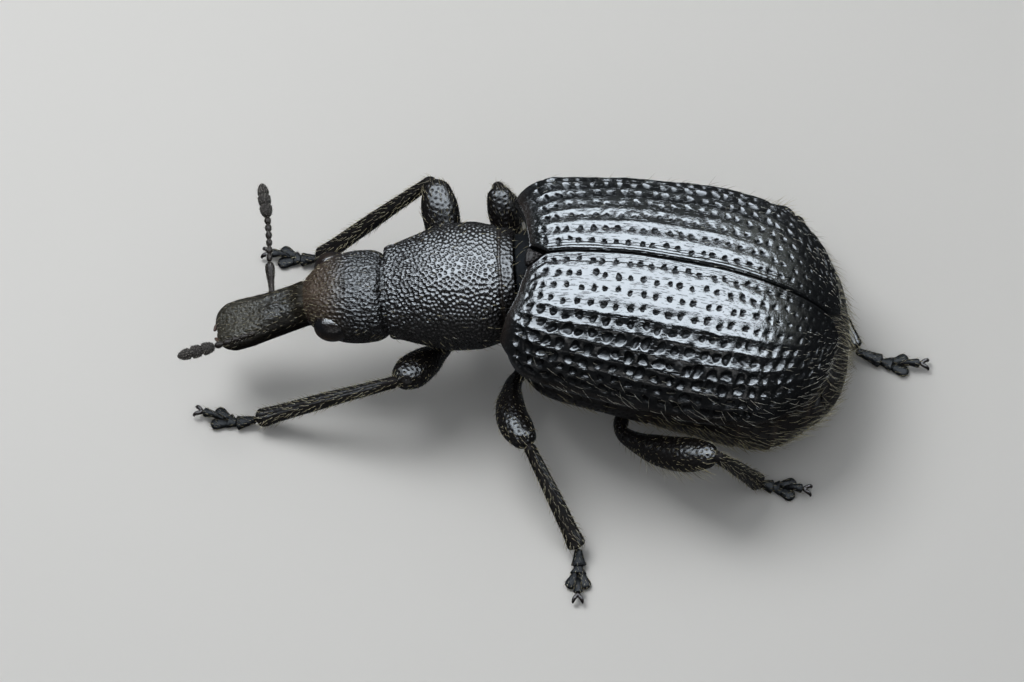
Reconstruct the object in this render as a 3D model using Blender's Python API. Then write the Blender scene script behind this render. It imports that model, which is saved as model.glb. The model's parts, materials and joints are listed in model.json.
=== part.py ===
"""Birch leaf-rolling weevil, life size, standing still on the floor.

Head towards -X, the animal's left side towards -Y, up +Z. Sizes are written in
millimetres and scaled to metres when each mesh is finished.
"""

import math

import bmesh
import bpy
import numpy as np
from mathutils import Matrix

MM = 0.001
GAP = 0.012
UP = np.array([0.0, 0.0, 1.0])
TIP_ROUNDNESS = 0.5

# Stance of the body: height and pitch of the long axis at the wing case base.
AXIS_HEIGHT = 1.08
BODY_PITCH = 9.0
FORE_PITCH = -14.0
FORE_YAW = 8.0
FORE_SHIFT = (-0.09, 0.02, 0.0)
HEAD_PITCH = -5.0
HEAD_YAW = -2.0
NECK = (-0.90, 0.0, -0.05)
ROSTRUM_PITCH = -13.0
ROSTRUM_YAW = 7.0
ROSTRUM_ROOT = (-1.46, 0.0, -0.09)

ELYTRA_LENGTH = 2.27
ELYTRON_THICKNESS = 0.05
UNDERFOLD = 0.06
UNDERFOLD_TUCK = 0.004
STRIA_COUNT = 10
STRIA_DEPTH = 0.016
CASE_ROWS = 18
WAIST_X = 0.70

COLOURS = {
    "wing_case": ((0.012, 0.013, 0.016), 0.22),
    "body_shell": ((0.010, 0.011, 0.013), 0.32),
    "head_shell": ((0.012, 0.012, 0.014), 0.28),
    "rostrum_shell": ((0.022, 0.018, 0.010), 0.45),
    "eye_lens": ((0.008, 0.008, 0.010), 0.12),
    "antenna_shell": ((0.020, 0.016, 0.014), 0.40),
    "club_felt": ((0.110, 0.085, 0.075), 0.75),
    "leg_shell": ((0.012, 0.012, 0.014), 0.30),
    "claw_horn": ((0.030, 0.014, 0.008), 0.30),
}


def clear_scene():
    for thing in list(bpy.data.objects):
        bpy.data.objects.remove(thing, do_unlink=True)


def curve(keys, values):
    """Smooth curve through the keys that never overshoots them."""
    x = np.asarray(keys, float)
    y = np.asarray(values, float)
    step = np.diff(x)
    slope = np.diff(y) / step
    tangent = np.zeros(len(x))
    tangent[0] = slope[0]
    tangent[-1] = slope[-1]
    for i in range(1, len(x) - 1):
        if slope[i - 1] * slope[i] > 0:
            a = 2 * step[i] + step[i - 1]
            b = step[i] + 2 * step[i - 1]
            tangent[i] = (a + b) / (a / slope[i - 1] + b / slope[i])

    def at(t):
        t = min(max(t, x[0]), x[-1])
        i = min(int(np.searchsorted(x, t, side="right")) - 1, len(step) - 1)
        u = (t - x[i]) / step[i]
        return (
            y[i] * (1 + 2 * u) * (1 - u) ** 2
            + tangent[i] * step[i] * u * (1 - u) ** 2
            + y[i + 1] * u * u * (3 - 2 * u)
            + tangent[i + 1] * step[i] * u * u * (u - 1)
        )

    return at


def turn_y(points, degrees, pivot=(0, 0, 0)):
    angle = math.radians(degrees)
    p = np.asarray(points, float) - pivot
    x = p[..., 0] * math.cos(angle) + p[..., 2] * math.sin(angle)
    z = p[..., 2] * math.cos(angle) - p[..., 0] * math.sin(angle)
    return np.stack([x, p[..., 1], z], -1) + pivot


def turn_z(points, degrees, pivot=(0, 0, 0)):
    angle = math.radians(degrees)
    p = np.asarray(points, float) - pivot
    x = p[..., 0] * math.cos(angle) - p[..., 1] * math.sin(angle)
    y = p[..., 0] * math.sin(angle) + p[..., 1] * math.cos(angle)
    return np.stack([x, y, p[..., 2]], -1) + pivot


def in_body(points):
    """Hind body frame: X back from the wing case base, Z up from the axis."""
    turned = turn_y(points, BODY_PITCH)
    return turned + np.array([0, 0, AXIS_HEIGHT])


def in_fore(points):
    p = np.asarray(points, float) + np.array(FORE_SHIFT)
    return in_body(turn_z(turn_y(p, FORE_PITCH), FORE_YAW))


def in_head(points):
    return in_fore(turn_z(turn_y(points, HEAD_PITCH, NECK), HEAD_YAW, NECK))


def in_rostrum(points):
    turned = turn_y(points, ROSTRUM_PITCH, ROSTRUM_ROOT)
    return in_head(turn_z(turned, ROSTRUM_YAW, ROSTRUM_ROOT))


def ring(station, count, power, height):
    """Closed oval across X; up and down are its sizes over and under its centre height."""
    x, width, up, down = station
    points = []
    for k in range(count):
        angle = 2 * math.pi * k / count
        s = math.sin(angle)
        c = math.cos(angle)
        y = width * math.copysign(abs(s) ** (2 / power), s)
        z = (up if c >= 0 else down) * math.copysign(abs(c) ** (2 / power), c)
        points.append((x, y, height + z))
    return np.array(points)


def loft(rings, start_tip=None, end_tip=None):
    """Skin over rings of equal count, closed by a fan at both ends."""
    count = len(rings[0])
    vertices = [tuple(p) for r in rings for p in r]
    faces = []
    for i in range(len(rings) - 1):
        for k in range(count):
            a = i * count + k
            b = i * count + (k + 1) % count
            faces.append((a, b, b + count, a + count))
    for row, tip in ((0, start_tip), (len(rings) - 1, end_tip)):
        centre = np.mean(rings[row], axis=0) if tip is None else tip
        vertices.append(tuple(centre))
        hub = len(vertices) - 1
        for k in range(count):
            a = row * count + k
            b = row * count + (k + 1) % count
            faces.append((b, a, hub) if row == 0 else (a, b, hub))
    return vertices, faces


def make_object(name, vertices, faces):
    mesh = bpy.data.meshes.new(name)
    mesh.from_pydata([tuple(map(float, v)) for v in vertices], [], faces)
    tidy_mesh(mesh)
    thing = bpy.data.objects.new(name, mesh)
    bpy.context.scene.collection.objects.link(thing)
    return thing


def tidy_mesh(mesh, smallest=1e-5):
    work = bmesh.new()
    work.from_mesh(mesh)
    bmesh.ops.remove_doubles(work, verts=work.verts, dist=smallest)
    bmesh.ops.dissolve_degenerate(work, edges=work.edges, dist=smallest)
    bmesh.ops.recalc_face_normals(work, faces=work.faces)
    if work.calc_volume(signed=True) < 0:
        bmesh.ops.reverse_faces(work, faces=work.faces)
    work.to_mesh(mesh)
    work.free()
    mesh.update()


def keep_largest(thing):
    """Keep only the largest closed surface of a node."""
    work = bmesh.new()
    work.from_mesh(thing.data)
    work.verts.ensure_lookup_table()
    seen = set()
    groups = []
    for start in work.verts:
        if start in seen:
            continue
        group = [start]
        seen.add(start)
        for vertex in group:
            for edge in vertex.link_edges:
                other = edge.other_vert(vertex)
                if other not in seen:
                    seen.add(other)
                    group.append(other)
        groups.append(group)
    if len(groups) > 1:
        def spread(group):
            p = np.array([v.co for v in group])
            return float(np.prod(p.max(0) - p.min(0)))

        groups.sort(key=spread, reverse=True)
        loose = [v for group in groups[1:] for v in group]
        bmesh.ops.delete(work, geom=loose, context="VERTS")
    work.to_mesh(thing.data)
    work.free()


def combine(thing, others, operation):
    """Boolean of one object with a collection of closed meshes, then applied."""
    group = bpy.data.collections.new("pieces")
    bpy.context.scene.collection.children.link(group)
    for other in others:
        bpy.context.scene.collection.objects.unlink(other)
        group.objects.link(other)
    modifier = thing.modifiers.new("combine", "BOOLEAN")
    modifier.operation = operation
    modifier.operand_type = "COLLECTION"
    modifier.collection = group
    modifier.solver = "EXACT"
    bpy.context.view_layer.update()
    shaped = thing.evaluated_get(bpy.context.evaluated_depsgraph_get())
    mesh = bpy.data.meshes.new_from_object(shaped)
    thing.modifiers.remove(modifier)
    thing.data = mesh
    for other in others:
        bpy.data.objects.remove(other, do_unlink=True)
    bpy.data.collections.remove(group)
    tidy_mesh(thing.data)
    keep_largest(thing)
    return thing


def join(name, pieces):
    pieces[0].name = name
    return combine(pieces[0], pieces[1:], "UNION")


def carve(thing, cutters):
    return combine(thing, cutters, "DIFFERENCE")


def egg(centre, radii, frame=None, sides=16, rows=9, grow=0.0):
    """Closed oval body, set in a frame where one is given."""
    rings = []
    r = np.asarray(radii, float) + grow
    for i in range(1, rows):
        polar = math.pi * i / rows
        w = math.sin(polar)
        rings.append(
            np.array([
                (w * math.cos(2 * math.pi * k / sides), w * math.sin(2 * math.pi * k / sides), math.cos(polar))
                for k in range(sides)
            ]) * r
        )
    tips = [np.array([0, 0, r[2]]), np.array([0, 0, -r[2]])]
    place = frame or (lambda p: np.asarray(p, float))

    def put(points):
        return place(points + np.asarray(centre, float))

    vertices, faces = loft([put(q) for q in rings], put(tips[0]), put(tips[1]))
    return make_object("egg", vertices, faces)


def smooth_path(points, samples):
    """Even samples on a rounded path through the points."""
    p = np.asarray(points, float)
    if len(p) == 2:
        t = np.linspace(0, 1, samples)[:, None]
        return p[0] * (1 - t) + p[1] * t
    ext = np.vstack([2 * p[0] - p[1], p, 2 * p[-1] - p[-2]])
    dense = []
    for i in range(1, len(ext) - 2):
        a, b, c, d = ext[i - 1], ext[i], ext[i + 1], ext[i + 2]
        for u in np.linspace(0, 1, 40, endpoint=False):
            dense.append(
                0.5 * (2 * b + (c - a) * u + (2 * a - 5 * b + 4 * c - d) * u * u
                       + (3 * b - a - 3 * c + d) * u ** 3)
            )
    dense.append(p[-1])
    dense = np.array(dense)
    length = np.concatenate([[0], np.cumsum(np.linalg.norm(np.diff(dense, axis=0), axis=1))])
    wanted = np.linspace(0, length[-1], samples)
    return np.stack([np.interp(wanted, length, dense[:, k]) for k in range(3)], -1)


def limb(points, wide, thick, sides=12, samples=12):
    """Tapering tube on a path, with a rounded tip at both ends; wide is its radius to the side,
    thick the one upwards."""
    path = smooth_path(points, samples)
    total = len(path)
    tangents = np.gradient(path, axis=0)
    rings = []
    for i, (p, tangent) in enumerate(zip(path, tangents)):
        t = tangent / np.linalg.norm(tangent)
        side = np.cross(t, UP)
        side /= np.linalg.norm(side)
        high = np.cross(side, t)
        u = i / (total - 1)
        a = wide(u)
        b = thick(u)
        rings.append(np.array([
            p + side * a * math.cos(2 * math.pi * k / sides) + high * b * math.sin(2 * math.pi * k / sides)
            for k in range(sides)
        ]))
    first = path[0] - path[1]
    last = path[-1] - path[-2]
    start = path[0] + first / np.linalg.norm(first) * thick(0) * TIP_ROUNDNESS
    end = path[-1] + last / np.linalg.norm(last) * thick(1) * TIP_ROUNDNESS
    vertices, faces = loft(rings, start, end)
    return make_object("limb", vertices, faces)


def tube(points, size, grow=0.0, sides=12, samples=12):
    """Round limb, whose radius at each share of its length is the size there, plus grow."""

    def radius(share):
        return size(share) + grow

    return limb(points, radius, radius, sides, samples)


def finish(thing, material, name):
    """Name of the node, its size in metres and its material."""
    thing.name = name
    thing.data.name = name
    thing.data.transform(Matrix.Scale(MM, 4))
    thing.data.materials.clear()
    thing.data.materials.append(MATERIALS[material])
    return thing


def make_materials():
    made = {}
    for name, (colour, roughness) in COLOURS.items():
        material = bpy.data.materials.new(name)
        material.use_nodes = True
        shader = material.node_tree.nodes["Principled BSDF"]
        shader.inputs["Base Color"].default_value = (*colour, 1)
        shader.inputs["Roughness"].default_value = roughness
        shader.inputs["Metallic"].default_value = 0.0
        made[name] = material
    return made


# Wing cases

CASE_WIDTH = curve(
    [0, 0.012, 0.035, 0.08, 0.2, 0.4, 0.6, 0.75, 0.86, 0.93, 0.97, 0.99, 1.0],
    [0.565, 0.64, 0.71, 0.77, 0.81, 0.86, 0.895, 0.865, 0.76, 0.61, 0.44, 0.28, 0.16],
)
CASE_HEIGHT = curve(
    [0, 0.012, 0.05, 0.15, 0.35, 0.55, 0.7, 0.8, 0.88, 0.94, 0.98, 1.0],
    [0.355, 0.40, 0.48, 0.60, 0.69, 0.68, 0.61, 0.51, 0.39, 0.26, 0.14, 0.06],
)
CASE_MARGIN = curve([0, 0.04, 0.2, 0.7, 0.9, 1.0], [0.03, 0.02, 0.0, 0.0, 0.02, 0.05])
BASE_LINE = curve([0, 0.3, 0.6, 0.85, 1.0], [-0.03, -0.06, -0.12, -0.13, -0.07])
CASE_POWER = 2.5


def case_section(t, inset):
    """Dense half section of a wing case from the suture down to the margin."""
    w = CASE_WIDTH(t) - inset
    h = CASE_HEIGHT(t) - inset
    angle = np.linspace(0, math.pi / 2, 120)
    y = w * np.sin(angle) ** (2 / CASE_POWER)
    z = CASE_MARGIN(t) + h * np.cos(angle) ** (2 / CASE_POWER)
    return y, z


def suture_edge(t):
    """Half width of the slit between the wing cases."""
    front = 0.085 * max(0.0, 1 - t / 0.05)
    back = 0.07 * max(0.0, (t - 0.95) / 0.05) ** 2
    return GAP / 2 + front + back


def case_point(t, fraction, inset, drop):
    y, z = case_section(t, inset)
    length = np.concatenate([[0], np.cumsum(np.hypot(np.diff(y), np.diff(z)))])
    first = float(np.interp(suture_edge(t), y, length))
    at = first + (length[-1] - first) * fraction
    py = float(np.interp(at, length, y))
    pz = float(np.interp(at, length, z))
    if drop:
        ahead_y = float(np.interp(at + 0.01, length, y)) - float(np.interp(at - 0.01, length, y))
        ahead_z = float(np.interp(at + 0.01, length, z)) - float(np.interp(at - 0.01, length, z))
        size = math.hypot(ahead_y, ahead_z)
        py += drop * ahead_z / size
        pz -= drop * ahead_y / size
    start = BASE_LINE(fraction)
    x = start + t * (ELYTRA_LENGTH - inset * t - start)
    return x, max(py, GAP / 2), pz


def elytron(side):
    """One wing case: a thin shell with grooved rows outside, smooth inside."""
    rows = CASE_ROWS
    steps = 0.5 * (1 - np.cos(np.pi * np.linspace(0, 1, rows)))
    columns = [(0.0, 0.0)]
    for k in range(STRIA_COUNT):
        columns.append(((k + 0.5) / (STRIA_COUNT + 0.2), STRIA_DEPTH))
        columns.append(((k + 1.0) / (STRIA_COUNT + 0.2), 0.0))
    columns.append((1.0, 0.0))
    grid = []
    for layer in (0, 1):
        inset = layer * ELYTRON_THICKNESS
        for t in steps:
            fade = min(1.0, t / 0.05, (1 - t) / 0.08)
            line = [
                case_point(t, f, inset, 0.0 if layer else depth * fade)
                for f, depth in columns
            ]
            x, y, z = line[-1]
            under = UNDERFOLD * (1 - 0.55 * t)
            line.append((x, y - (0.0 if layer else UNDERFOLD_TUCK), z - under))
            grid.append(line)
    width = len(columns) + 1
    vertices = [(x, side * y, z) for line in grid for x, y, z in line]
    faces = []

    def index(layer, row, column):
        return (layer * rows + row) * width + column

    for layer in (0, 1):
        for i in range(rows - 1):
            for k in range(width - 1):
                quad = (
                    index(layer, i, k),
                    index(layer, i + 1, k),
                    index(layer, i + 1, k + 1),
                    index(layer, i, k + 1),
                )
                faces.append(quad if layer == 0 else quad[::-1])
    for i in range(rows - 1):
        for k in (0, width - 1):
            faces.append((index(0, i, k), index(0, i + 1, k), index(1, i + 1, k), index(1, i, k)))
    for k in range(width - 1):
        for i in (0, rows - 1):
            faces.append((index(0, i, k), index(0, i, k + 1), index(1, i, k + 1), index(1, i, k)))
    return make_object("elytron", in_body(vertices), faces)


# Trunk under the wing cases

TRUNK_DEPTH = curve(
    [-0.1, 0.0, 0.25, 0.7, 1.1, 1.5, 1.85, 2.1, 2.3, 2.42],
    [0.36, 0.40, 0.54, 0.56, 0.62, 0.71, 0.75, 0.69, 0.59, 0.49],
)
TRUNK_SIDE = curve(
    [-0.1, 0.0, 0.12, 0.3, 0.7, 1.3, 1.7, 1.9, 2.1, 2.28, 2.38, 2.42],
    [0.36, 0.46, 0.66, 0.77, 0.82, 0.86, 0.885, 0.86, 0.73, 0.54, 0.34, 0.17],
)
RUMP_TOP = curve(
    [1.6, 1.95, 2.1, 2.2, 2.28, 2.34, 2.39, 2.42],
    [0.60, 0.26, 0.07, -0.04, -0.10, -0.17, -0.26, -0.34],
)
TRUNK_END = 2.42
RUMP_START = 1.6
RUMP_NARROW = 2.22
NECK_END = 0.12

# Room that the trunk leaves under the wing cases, and the ledge their margins hang over
SIDE_ROOM = 0.05
ROOF_ROOM = 0.055
LEDGE_DEPTH = 0.085
LEDGE_RISE = 0.025
NARROWEST_ROOF = 0.10
LOWEST_ROOF = 0.03

VENTRITE_EDGES = (1.02, 1.36, 1.66, 1.92, 2.14)
VENTRITE_STEP = 0.012
VENTRITE_SLOPE = 0.10

# Points of a half ring of the trunk: over the ledge, and under it
ROOF_POINTS = 7
FLANK_POINTS = 8
FIRST_FLANK_POINT = 0.35
ROOF_BEND = 0.85
FLANK_BEND = 0.72


def roof_angles(last):
    """Angles from the top of a half ring down to its ledge."""
    return [math.pi / 2 * k / last for k in range(ROOF_POINTS)]


def flank_angles():
    """Angles from the ledge of a half ring down to the keel."""
    last = FLANK_POINTS - 1 + FIRST_FLANK_POINT
    return [math.pi / 2 * (k + FIRST_FLANK_POINT) / last for k in range(FLANK_POINTS)]


def whole_ring(x, half):
    """Both halves of a ring from the points of its right half."""
    right = [(x, y, z) for y, z in half]
    left = [(x, -y, z) for y, z in half[1:-1]][::-1]
    return np.array(right + left)


def roof_size(x):
    """Half width and height of the trunk where the wing cases cover it."""
    t = min(max(x / ELYTRA_LENGTH, 0.0), 0.985)
    taper = 0.03 * max(0.0, x - RUMP_START)
    width = max(CASE_WIDTH(t) - ELYTRON_THICKNESS - SIDE_ROOM - taper, NARROWEST_ROOF)
    height = max(CASE_HEIGHT(t) - ELYTRON_THICKNESS - ROOF_ROOM, LOWEST_ROOF) + CASE_MARGIN(t)
    side = TRUNK_SIDE(x)
    if x < NECK_END:
        width = min(width, side * 0.9)
    if x > RUMP_NARROW:
        width = side * (0.55 + 0.35 * (x - RUMP_NARROW) / (TRUNK_END - RUMP_NARROW))
    return width, min(height, RUMP_TOP(x))


def ventrite_step(x):
    """How far each belly plate sinks behind the edge of the one before it."""
    step = 0.0
    for edge in VENTRITE_EDGES:
        if x > edge:
            step = VENTRITE_STEP * max(0.0, 1 - (x - edge) / VENTRITE_SLOPE)
    return step


def trunk_ring(x):
    roof_width, roof_height = roof_size(x)
    step = ventrite_step(x)
    ledge = min(-LEDGE_DEPTH, roof_height - 2 * LEDGE_RISE)
    low = ledge + LEDGE_RISE
    half = [
        (roof_width * math.sin(a) ** ROOF_BEND, low + (roof_height - low) * math.cos(a) ** ROOF_BEND)
        for a in roof_angles(ROOF_POINTS - 1)[:-1]
    ]
    half.append((roof_width, low))
    width = max(TRUNK_SIDE(x), roof_width + 0.01) - step
    depth = TRUNK_DEPTH(x) - step
    half += [
        (width * math.cos(a) ** FLANK_BEND, ledge - (depth + ledge) * math.sin(a) ** FLANK_BEND)
        for a in flank_angles()[:-1]
    ]
    half.append((0.0, -depth))
    return in_body(whole_ring(x, half))


# Front of the trunk, behind the collar of the prothorax: x, width, up and down
COLLAR_STATIONS = ((0.04 + GAP, 0.335, 0.325, 0.34), (0.08, 0.34, 0.33, 0.345))
COLLAR_HEIGHT = -0.03
THORAX_STATIONS = (0.10, 0.15, 0.22, 0.30, 0.42, 0.56, WAIST_X - GAP / 2)


def collar_ring(station):
    """Oval ring with the same point order as trunk_ring."""
    x, width, up, down = station
    half = [
        (width * math.sin(a), COLLAR_HEIGHT + up * math.cos(a)) for a in roof_angles(ROOF_POINTS - 0.5)
    ]
    half += [
        (width * math.cos(a), COLLAR_HEIGHT - down * math.sin(a)) for a in flank_angles()[:-1]
    ]
    half.append((0.0, COLLAR_HEIGHT - down))
    return in_fore(whole_ring(x, half))


def thorax_underside():
    rings = [collar_ring(station) for station in COLLAR_STATIONS]
    rings += [trunk_ring(x) for x in THORAX_STATIONS]
    vertices, faces = loft(rings)
    return make_object("thorax_underside", vertices, faces)


def abdomen_whole():
    stations = [WAIST_X + GAP / 2, 0.86]
    for edge in VENTRITE_EDGES:
        stations += [edge, edge + 0.02, edge + 0.12]
    stations += [2.30, 2.36, 2.40, TRUNK_END]
    stations = sorted(set(round(s, 3) for s in stations))
    vertices, faces = loft([trunk_ring(x) for x in stations])
    return make_object("abdomen", vertices, faces)


# The rump plate is parted from the abdomen along a slanted cut through this point
RUMP_LINE = (2.13, 0.0, -0.02)
RUMP_TILT = -38.0
CUTTER_REACH = 3.0


def block(low, high):
    """Corners and faces of a box."""
    corners = np.array([
        (x, y, z) for x in (low[0], high[0]) for y in (low[1], high[1]) for z in (low[2], high[2])
    ])
    faces = [(0, 1, 3, 2), (4, 6, 7, 5), (0, 4, 5, 1), (2, 3, 7, 6), (0, 2, 6, 4), (1, 5, 7, 3)]
    return corners, faces


def rump_cutter(start, end):
    """Box across the trunk between two distances behind the rump line."""
    x, y, z = RUMP_LINE
    corners, faces = block(
        (x + start, -CUTTER_REACH, -CUTTER_REACH), (x + end, CUTTER_REACH, CUTTER_REACH)
    )
    return make_object("cutter", in_body(turn_y(corners, RUMP_TILT, RUMP_LINE)), faces)


def abdomen_and_pygidium():
    abdomen = abdomen_whole()
    plate = abdomen_whole()
    carve(abdomen, [rump_cutter(0.0, CUTTER_REACH)])
    carve(plate, [rump_cutter(-CUTTER_REACH, GAP)])
    return abdomen, plate


# Prothorax, head and rostrum

# Stations: x, half width, size over the axis, size under it
PRONOTUM_STATIONS = (
    (0.04, 0.372, 0.352, 0.37),
    (0.0, 0.388, 0.372, 0.375),
    (-0.045, 0.396, 0.382, 0.38),
    (-0.06, 0.382, 0.368, 0.37),
    (-0.075, 0.402, 0.388, 0.385),
    (-0.15, 0.432, 0.412, 0.40),
    (-0.27, 0.458, 0.430, 0.41),
    (-0.40, 0.456, 0.432, 0.41),
    (-0.53, 0.434, 0.418, 0.40),
    (-0.65, 0.396, 0.384, 0.375),
    (-0.75, 0.364, 0.350, 0.35),
    (-0.81, 0.344, 0.325, 0.33),
    (-0.825, 0.333, 0.312, 0.32),
    (-0.845, 0.340, 0.318, 0.325),
    (-0.89, 0.332, 0.304, 0.315),
)
PRONOTUM_HEIGHT = -0.05

HEAD_STATIONS = (
    (-0.902, 0.285, 0.245, 0.25),
    (-0.94, 0.312, 0.280, 0.285),
    (-1.00, 0.330, 0.295, 0.30),
    (-1.10, 0.334, 0.300, 0.305),
    (-1.20, 0.322, 0.292, 0.30),
    (-1.30, 0.290, 0.270, 0.28),
    (-1.38, 0.245, 0.235, 0.245),
    (-1.44, 0.195, 0.190, 0.195),
    (-1.475, 0.160, 0.150, 0.150),
)
HEAD_HEIGHT = -0.08
BARREL_POWER = 2.1
BARREL_SIDES = 26
EYE_CENTRE = (-1.285, 0.235, -0.045)
EYE_RADII = (0.135, 0.105, 0.125)

ROSTRUM_STATIONS = (
    (-1.487, 0.155, 0.140, 0.145),
    (-1.55, 0.152, 0.128, 0.150),
    (-1.65, 0.155, 0.116, 0.158),
    (-1.75, 0.160, 0.108, 0.160),
    (-1.87, 0.170, 0.100, 0.152),
    (-1.98, 0.182, 0.090, 0.135),
    (-2.07, 0.184, 0.076, 0.110),
    (-2.13, 0.165, 0.058, 0.080),
    (-2.17, 0.130, 0.042, 0.055),
    (-2.19, 0.085, 0.028, 0.032),
)
ROSTRUM_HEIGHT = -0.09
ROSTRUM_POWER = 2.5

# Mandible of the right side, in the rostrum's frame: path, then its half sizes
MANDIBLE_PATH = ((-2.15, 0.035, -0.115), (-2.195, 0.058, -0.120), (-2.235, 0.028, -0.125))
MANDIBLE_WIDE = (0.024, 0.022, 0.008)
MANDIBLE_FLAT = (0.016, 0.012, 0.008)


def prothorax():
    rings = [in_fore(ring(s, BARREL_SIDES, BARREL_POWER, PRONOTUM_HEIGHT)) for s in PRONOTUM_STATIONS]
    vertices, faces = loft(rings)
    return make_object("prothorax", vertices, faces)


def head_solid():
    """Head capsule, whose first ring stays square to the neck."""
    rings = [ring(s, BARREL_SIDES, BARREL_POWER, HEAD_HEIGHT) for s in HEAD_STATIONS]
    vertices, faces = loft([in_fore(rings[0])] + [in_head(r) for r in rings[1:]])
    return make_object("head", vertices, faces)


def eye_egg(side, grow=0.0):
    x, y, z = EYE_CENTRE
    return egg((x, side * y, z), EYE_RADII, in_head, 14, 9, grow)


def rostrum_solid():
    """Beak, whose first ring stays square to the head."""
    rings = [ring(s, 18, ROSTRUM_POWER, ROSTRUM_HEIGHT) for s in ROSTRUM_STATIONS]
    vertices, faces = loft([in_head(rings[0])] + [in_rostrum(r) for r in rings[1:]])
    return make_object("rostrum", vertices, faces)


def mandible(side, grow=0.0):
    path = np.array(MANDIBLE_PATH) * (1, side, 1)
    wide = curve([0, 0.5, 1], np.array(MANDIBLE_WIDE) + grow)
    flat = curve([0, 0.5, 1], np.array(MANDIBLE_FLAT) + grow)
    return limb(in_rostrum(path), wide, flat, sides=8, samples=6)


# Antennae: insertion, elbow and club ends, in millimetres from the body origin

ANTENNAE = {
    "left": {
        "scape": [(-1.73, -0.318, 0.735), (-1.83, -0.365, 0.70)],
        "funicle": [(-1.83, -0.365, 0.70), (-1.97, -0.42, 0.67), (-2.17, -0.50, 0.64)],
        "club": [(-2.17, -0.50, 0.64), (-2.43, -0.59, 0.60)],
    },
    "right": {
        "scape": [(-1.80, -0.105, 0.765), (-1.84, 0.12, 0.83)],
        "funicle": [(-1.84, 0.12, 0.83), (-1.86, 0.28, 0.86), (-1.89, 0.45, 0.88)],
        "club": [(-1.89, 0.45, 0.88), (-1.96, 0.71, 0.90)],
    },
}
SCAPE_SIZE = curve([0, 0.25, 0.8, 1], [0.020, 0.022, 0.034, 0.026])
CLUB_SIZE = curve(
    [0, 0.12, 0.28, 0.34, 0.40, 0.58, 0.64, 0.70, 0.86, 1.0],
    [0.018, 0.040, 0.046, 0.036, 0.046, 0.048, 0.037, 0.044, 0.030, 0.008],
)
BEAD_COUNT = 6
BEAD_WAIST = 0.015
BEAD_SIZE = 0.024
ELBOW_GAP = GAP + 0.01


def bead_size(u):
    """Radius of the row of beads between elbow and club, a little larger towards the club."""
    wave = abs(math.sin(math.pi * u * BEAD_COUNT))
    return BEAD_WAIST + (BEAD_SIZE - BEAD_WAIST) * wave * (1 + 0.25 * u)


def along(points, start, end):
    """The path shortened by a distance at its two ends."""
    p = [np.asarray(q, float) for q in points]
    first = p[1] - p[0]
    last = p[-1] - p[-2]
    p[0] = p[0] + first / np.linalg.norm(first) * start
    p[-1] = p[-1] - last / np.linalg.norm(last) * end
    return p


def scape(side, grow=0.0):
    path = along(ANTENNAE[side]["scape"], 0.0, ELBOW_GAP)
    return tube(path, SCAPE_SIZE, grow, sides=10, samples=7)


def funicle(side, grow=0.0):
    path = along(ANTENNAE[side]["funicle"], GAP, GAP)
    return tube(path, bead_size, grow, sides=8, samples=25)


def club(side):
    return tube(along(ANTENNAE[side]["club"], GAP, 0.0), CLUB_SIZE, sides=10, samples=14)


# Legs: every joint in millimetres, with the tarsus laid along the floor

FORE_COXA = ((-0.42, 0.098, -0.49), (0.105, 0.086, 0.125))
MID_COXA = ((0.17, 0.225, -0.52), (0.12, 0.12, 0.12))
HIND_COXA = ((0.80, 0.36, -0.53), (0.11, 0.24, 0.095))

LEGS = {
    "fore_left": {
        "coxa": (FORE_COXA, -1, in_fore),
        "femur": [(-0.50, -0.17, 0.455), (-0.54, -0.26, 0.46), (-0.83, -0.69, 0.71)],
        "ankle": (-1.85, -0.77, 0.085),
        "foot": [(-2.00, -0.79), (-2.10, -0.765), (-2.29, -0.725)],
        "swell": 1.15,
    },
    "fore_right": {
        "coxa": (FORE_COXA, 1, in_fore),
        "femur": [(-0.49, 0.12, 0.455), (-0.53, 0.24, 0.50), (-0.73, 0.87, 0.89)],
        "ankle": (-1.55, 0.58, 0.085),
        "foot": [(-1.68, 0.585), (-1.77, 0.595), (-1.95, 0.61)],
        "swell": 1.25,
    },
    "mid_left": {
        "coxa": (MID_COXA, -1, in_body),
        "femur": [(0.06, -0.33, 0.42), (-0.03, -0.50, 0.43), (-0.01, -0.80, 0.53), (0.13, -1.06, 0.62)],
        "ankle": (0.54, -1.58, 0.085),
        "foot": [(0.555, -1.70), (0.56, -1.80), (0.573, -1.97)],
        "swell": 1.0,
    },
    "mid_right": {
        "coxa": (MID_COXA, 1, in_body),
        "femur": [(0.06, 0.33, 0.42), (-0.10, 0.50, 0.50), (-0.28, 0.87, 0.86)],
        "ankle": (-0.12, 1.08, 0.085),
        "foot": [(-0.01, 1.15), (0.07, 1.20), (0.22, 1.29)],
        "swell": 0.9,
    },
    "hind_left": {
        "coxa": (HIND_COXA, -1, in_body),
        "femur": [(0.77, -0.60, 0.37), (0.79, -0.78, 0.36), (1.10, -0.98, 0.53), (1.47, -1.12, 0.80)],
        "ankle": (1.77, -0.93, 0.085),
        "foot": [(1.88, -0.935), (1.97, -0.935), (2.14, -0.94)],
        "swell": 1.15,
    },
    "hind_right": {
        "coxa": (HIND_COXA, 1, in_body),
        "femur": [(0.77, 0.60, 0.37), (0.86, 0.78, 0.36), (1.35, 0.99, 0.37), (1.87, 1.05, 0.46)],
        "ankle": (2.38, 0.20, 0.085),
        "foot": [(2.58, 0.155), (2.70, 0.14), (2.90, 0.157)],
        "swell": 1.0,
    },
}

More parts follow.
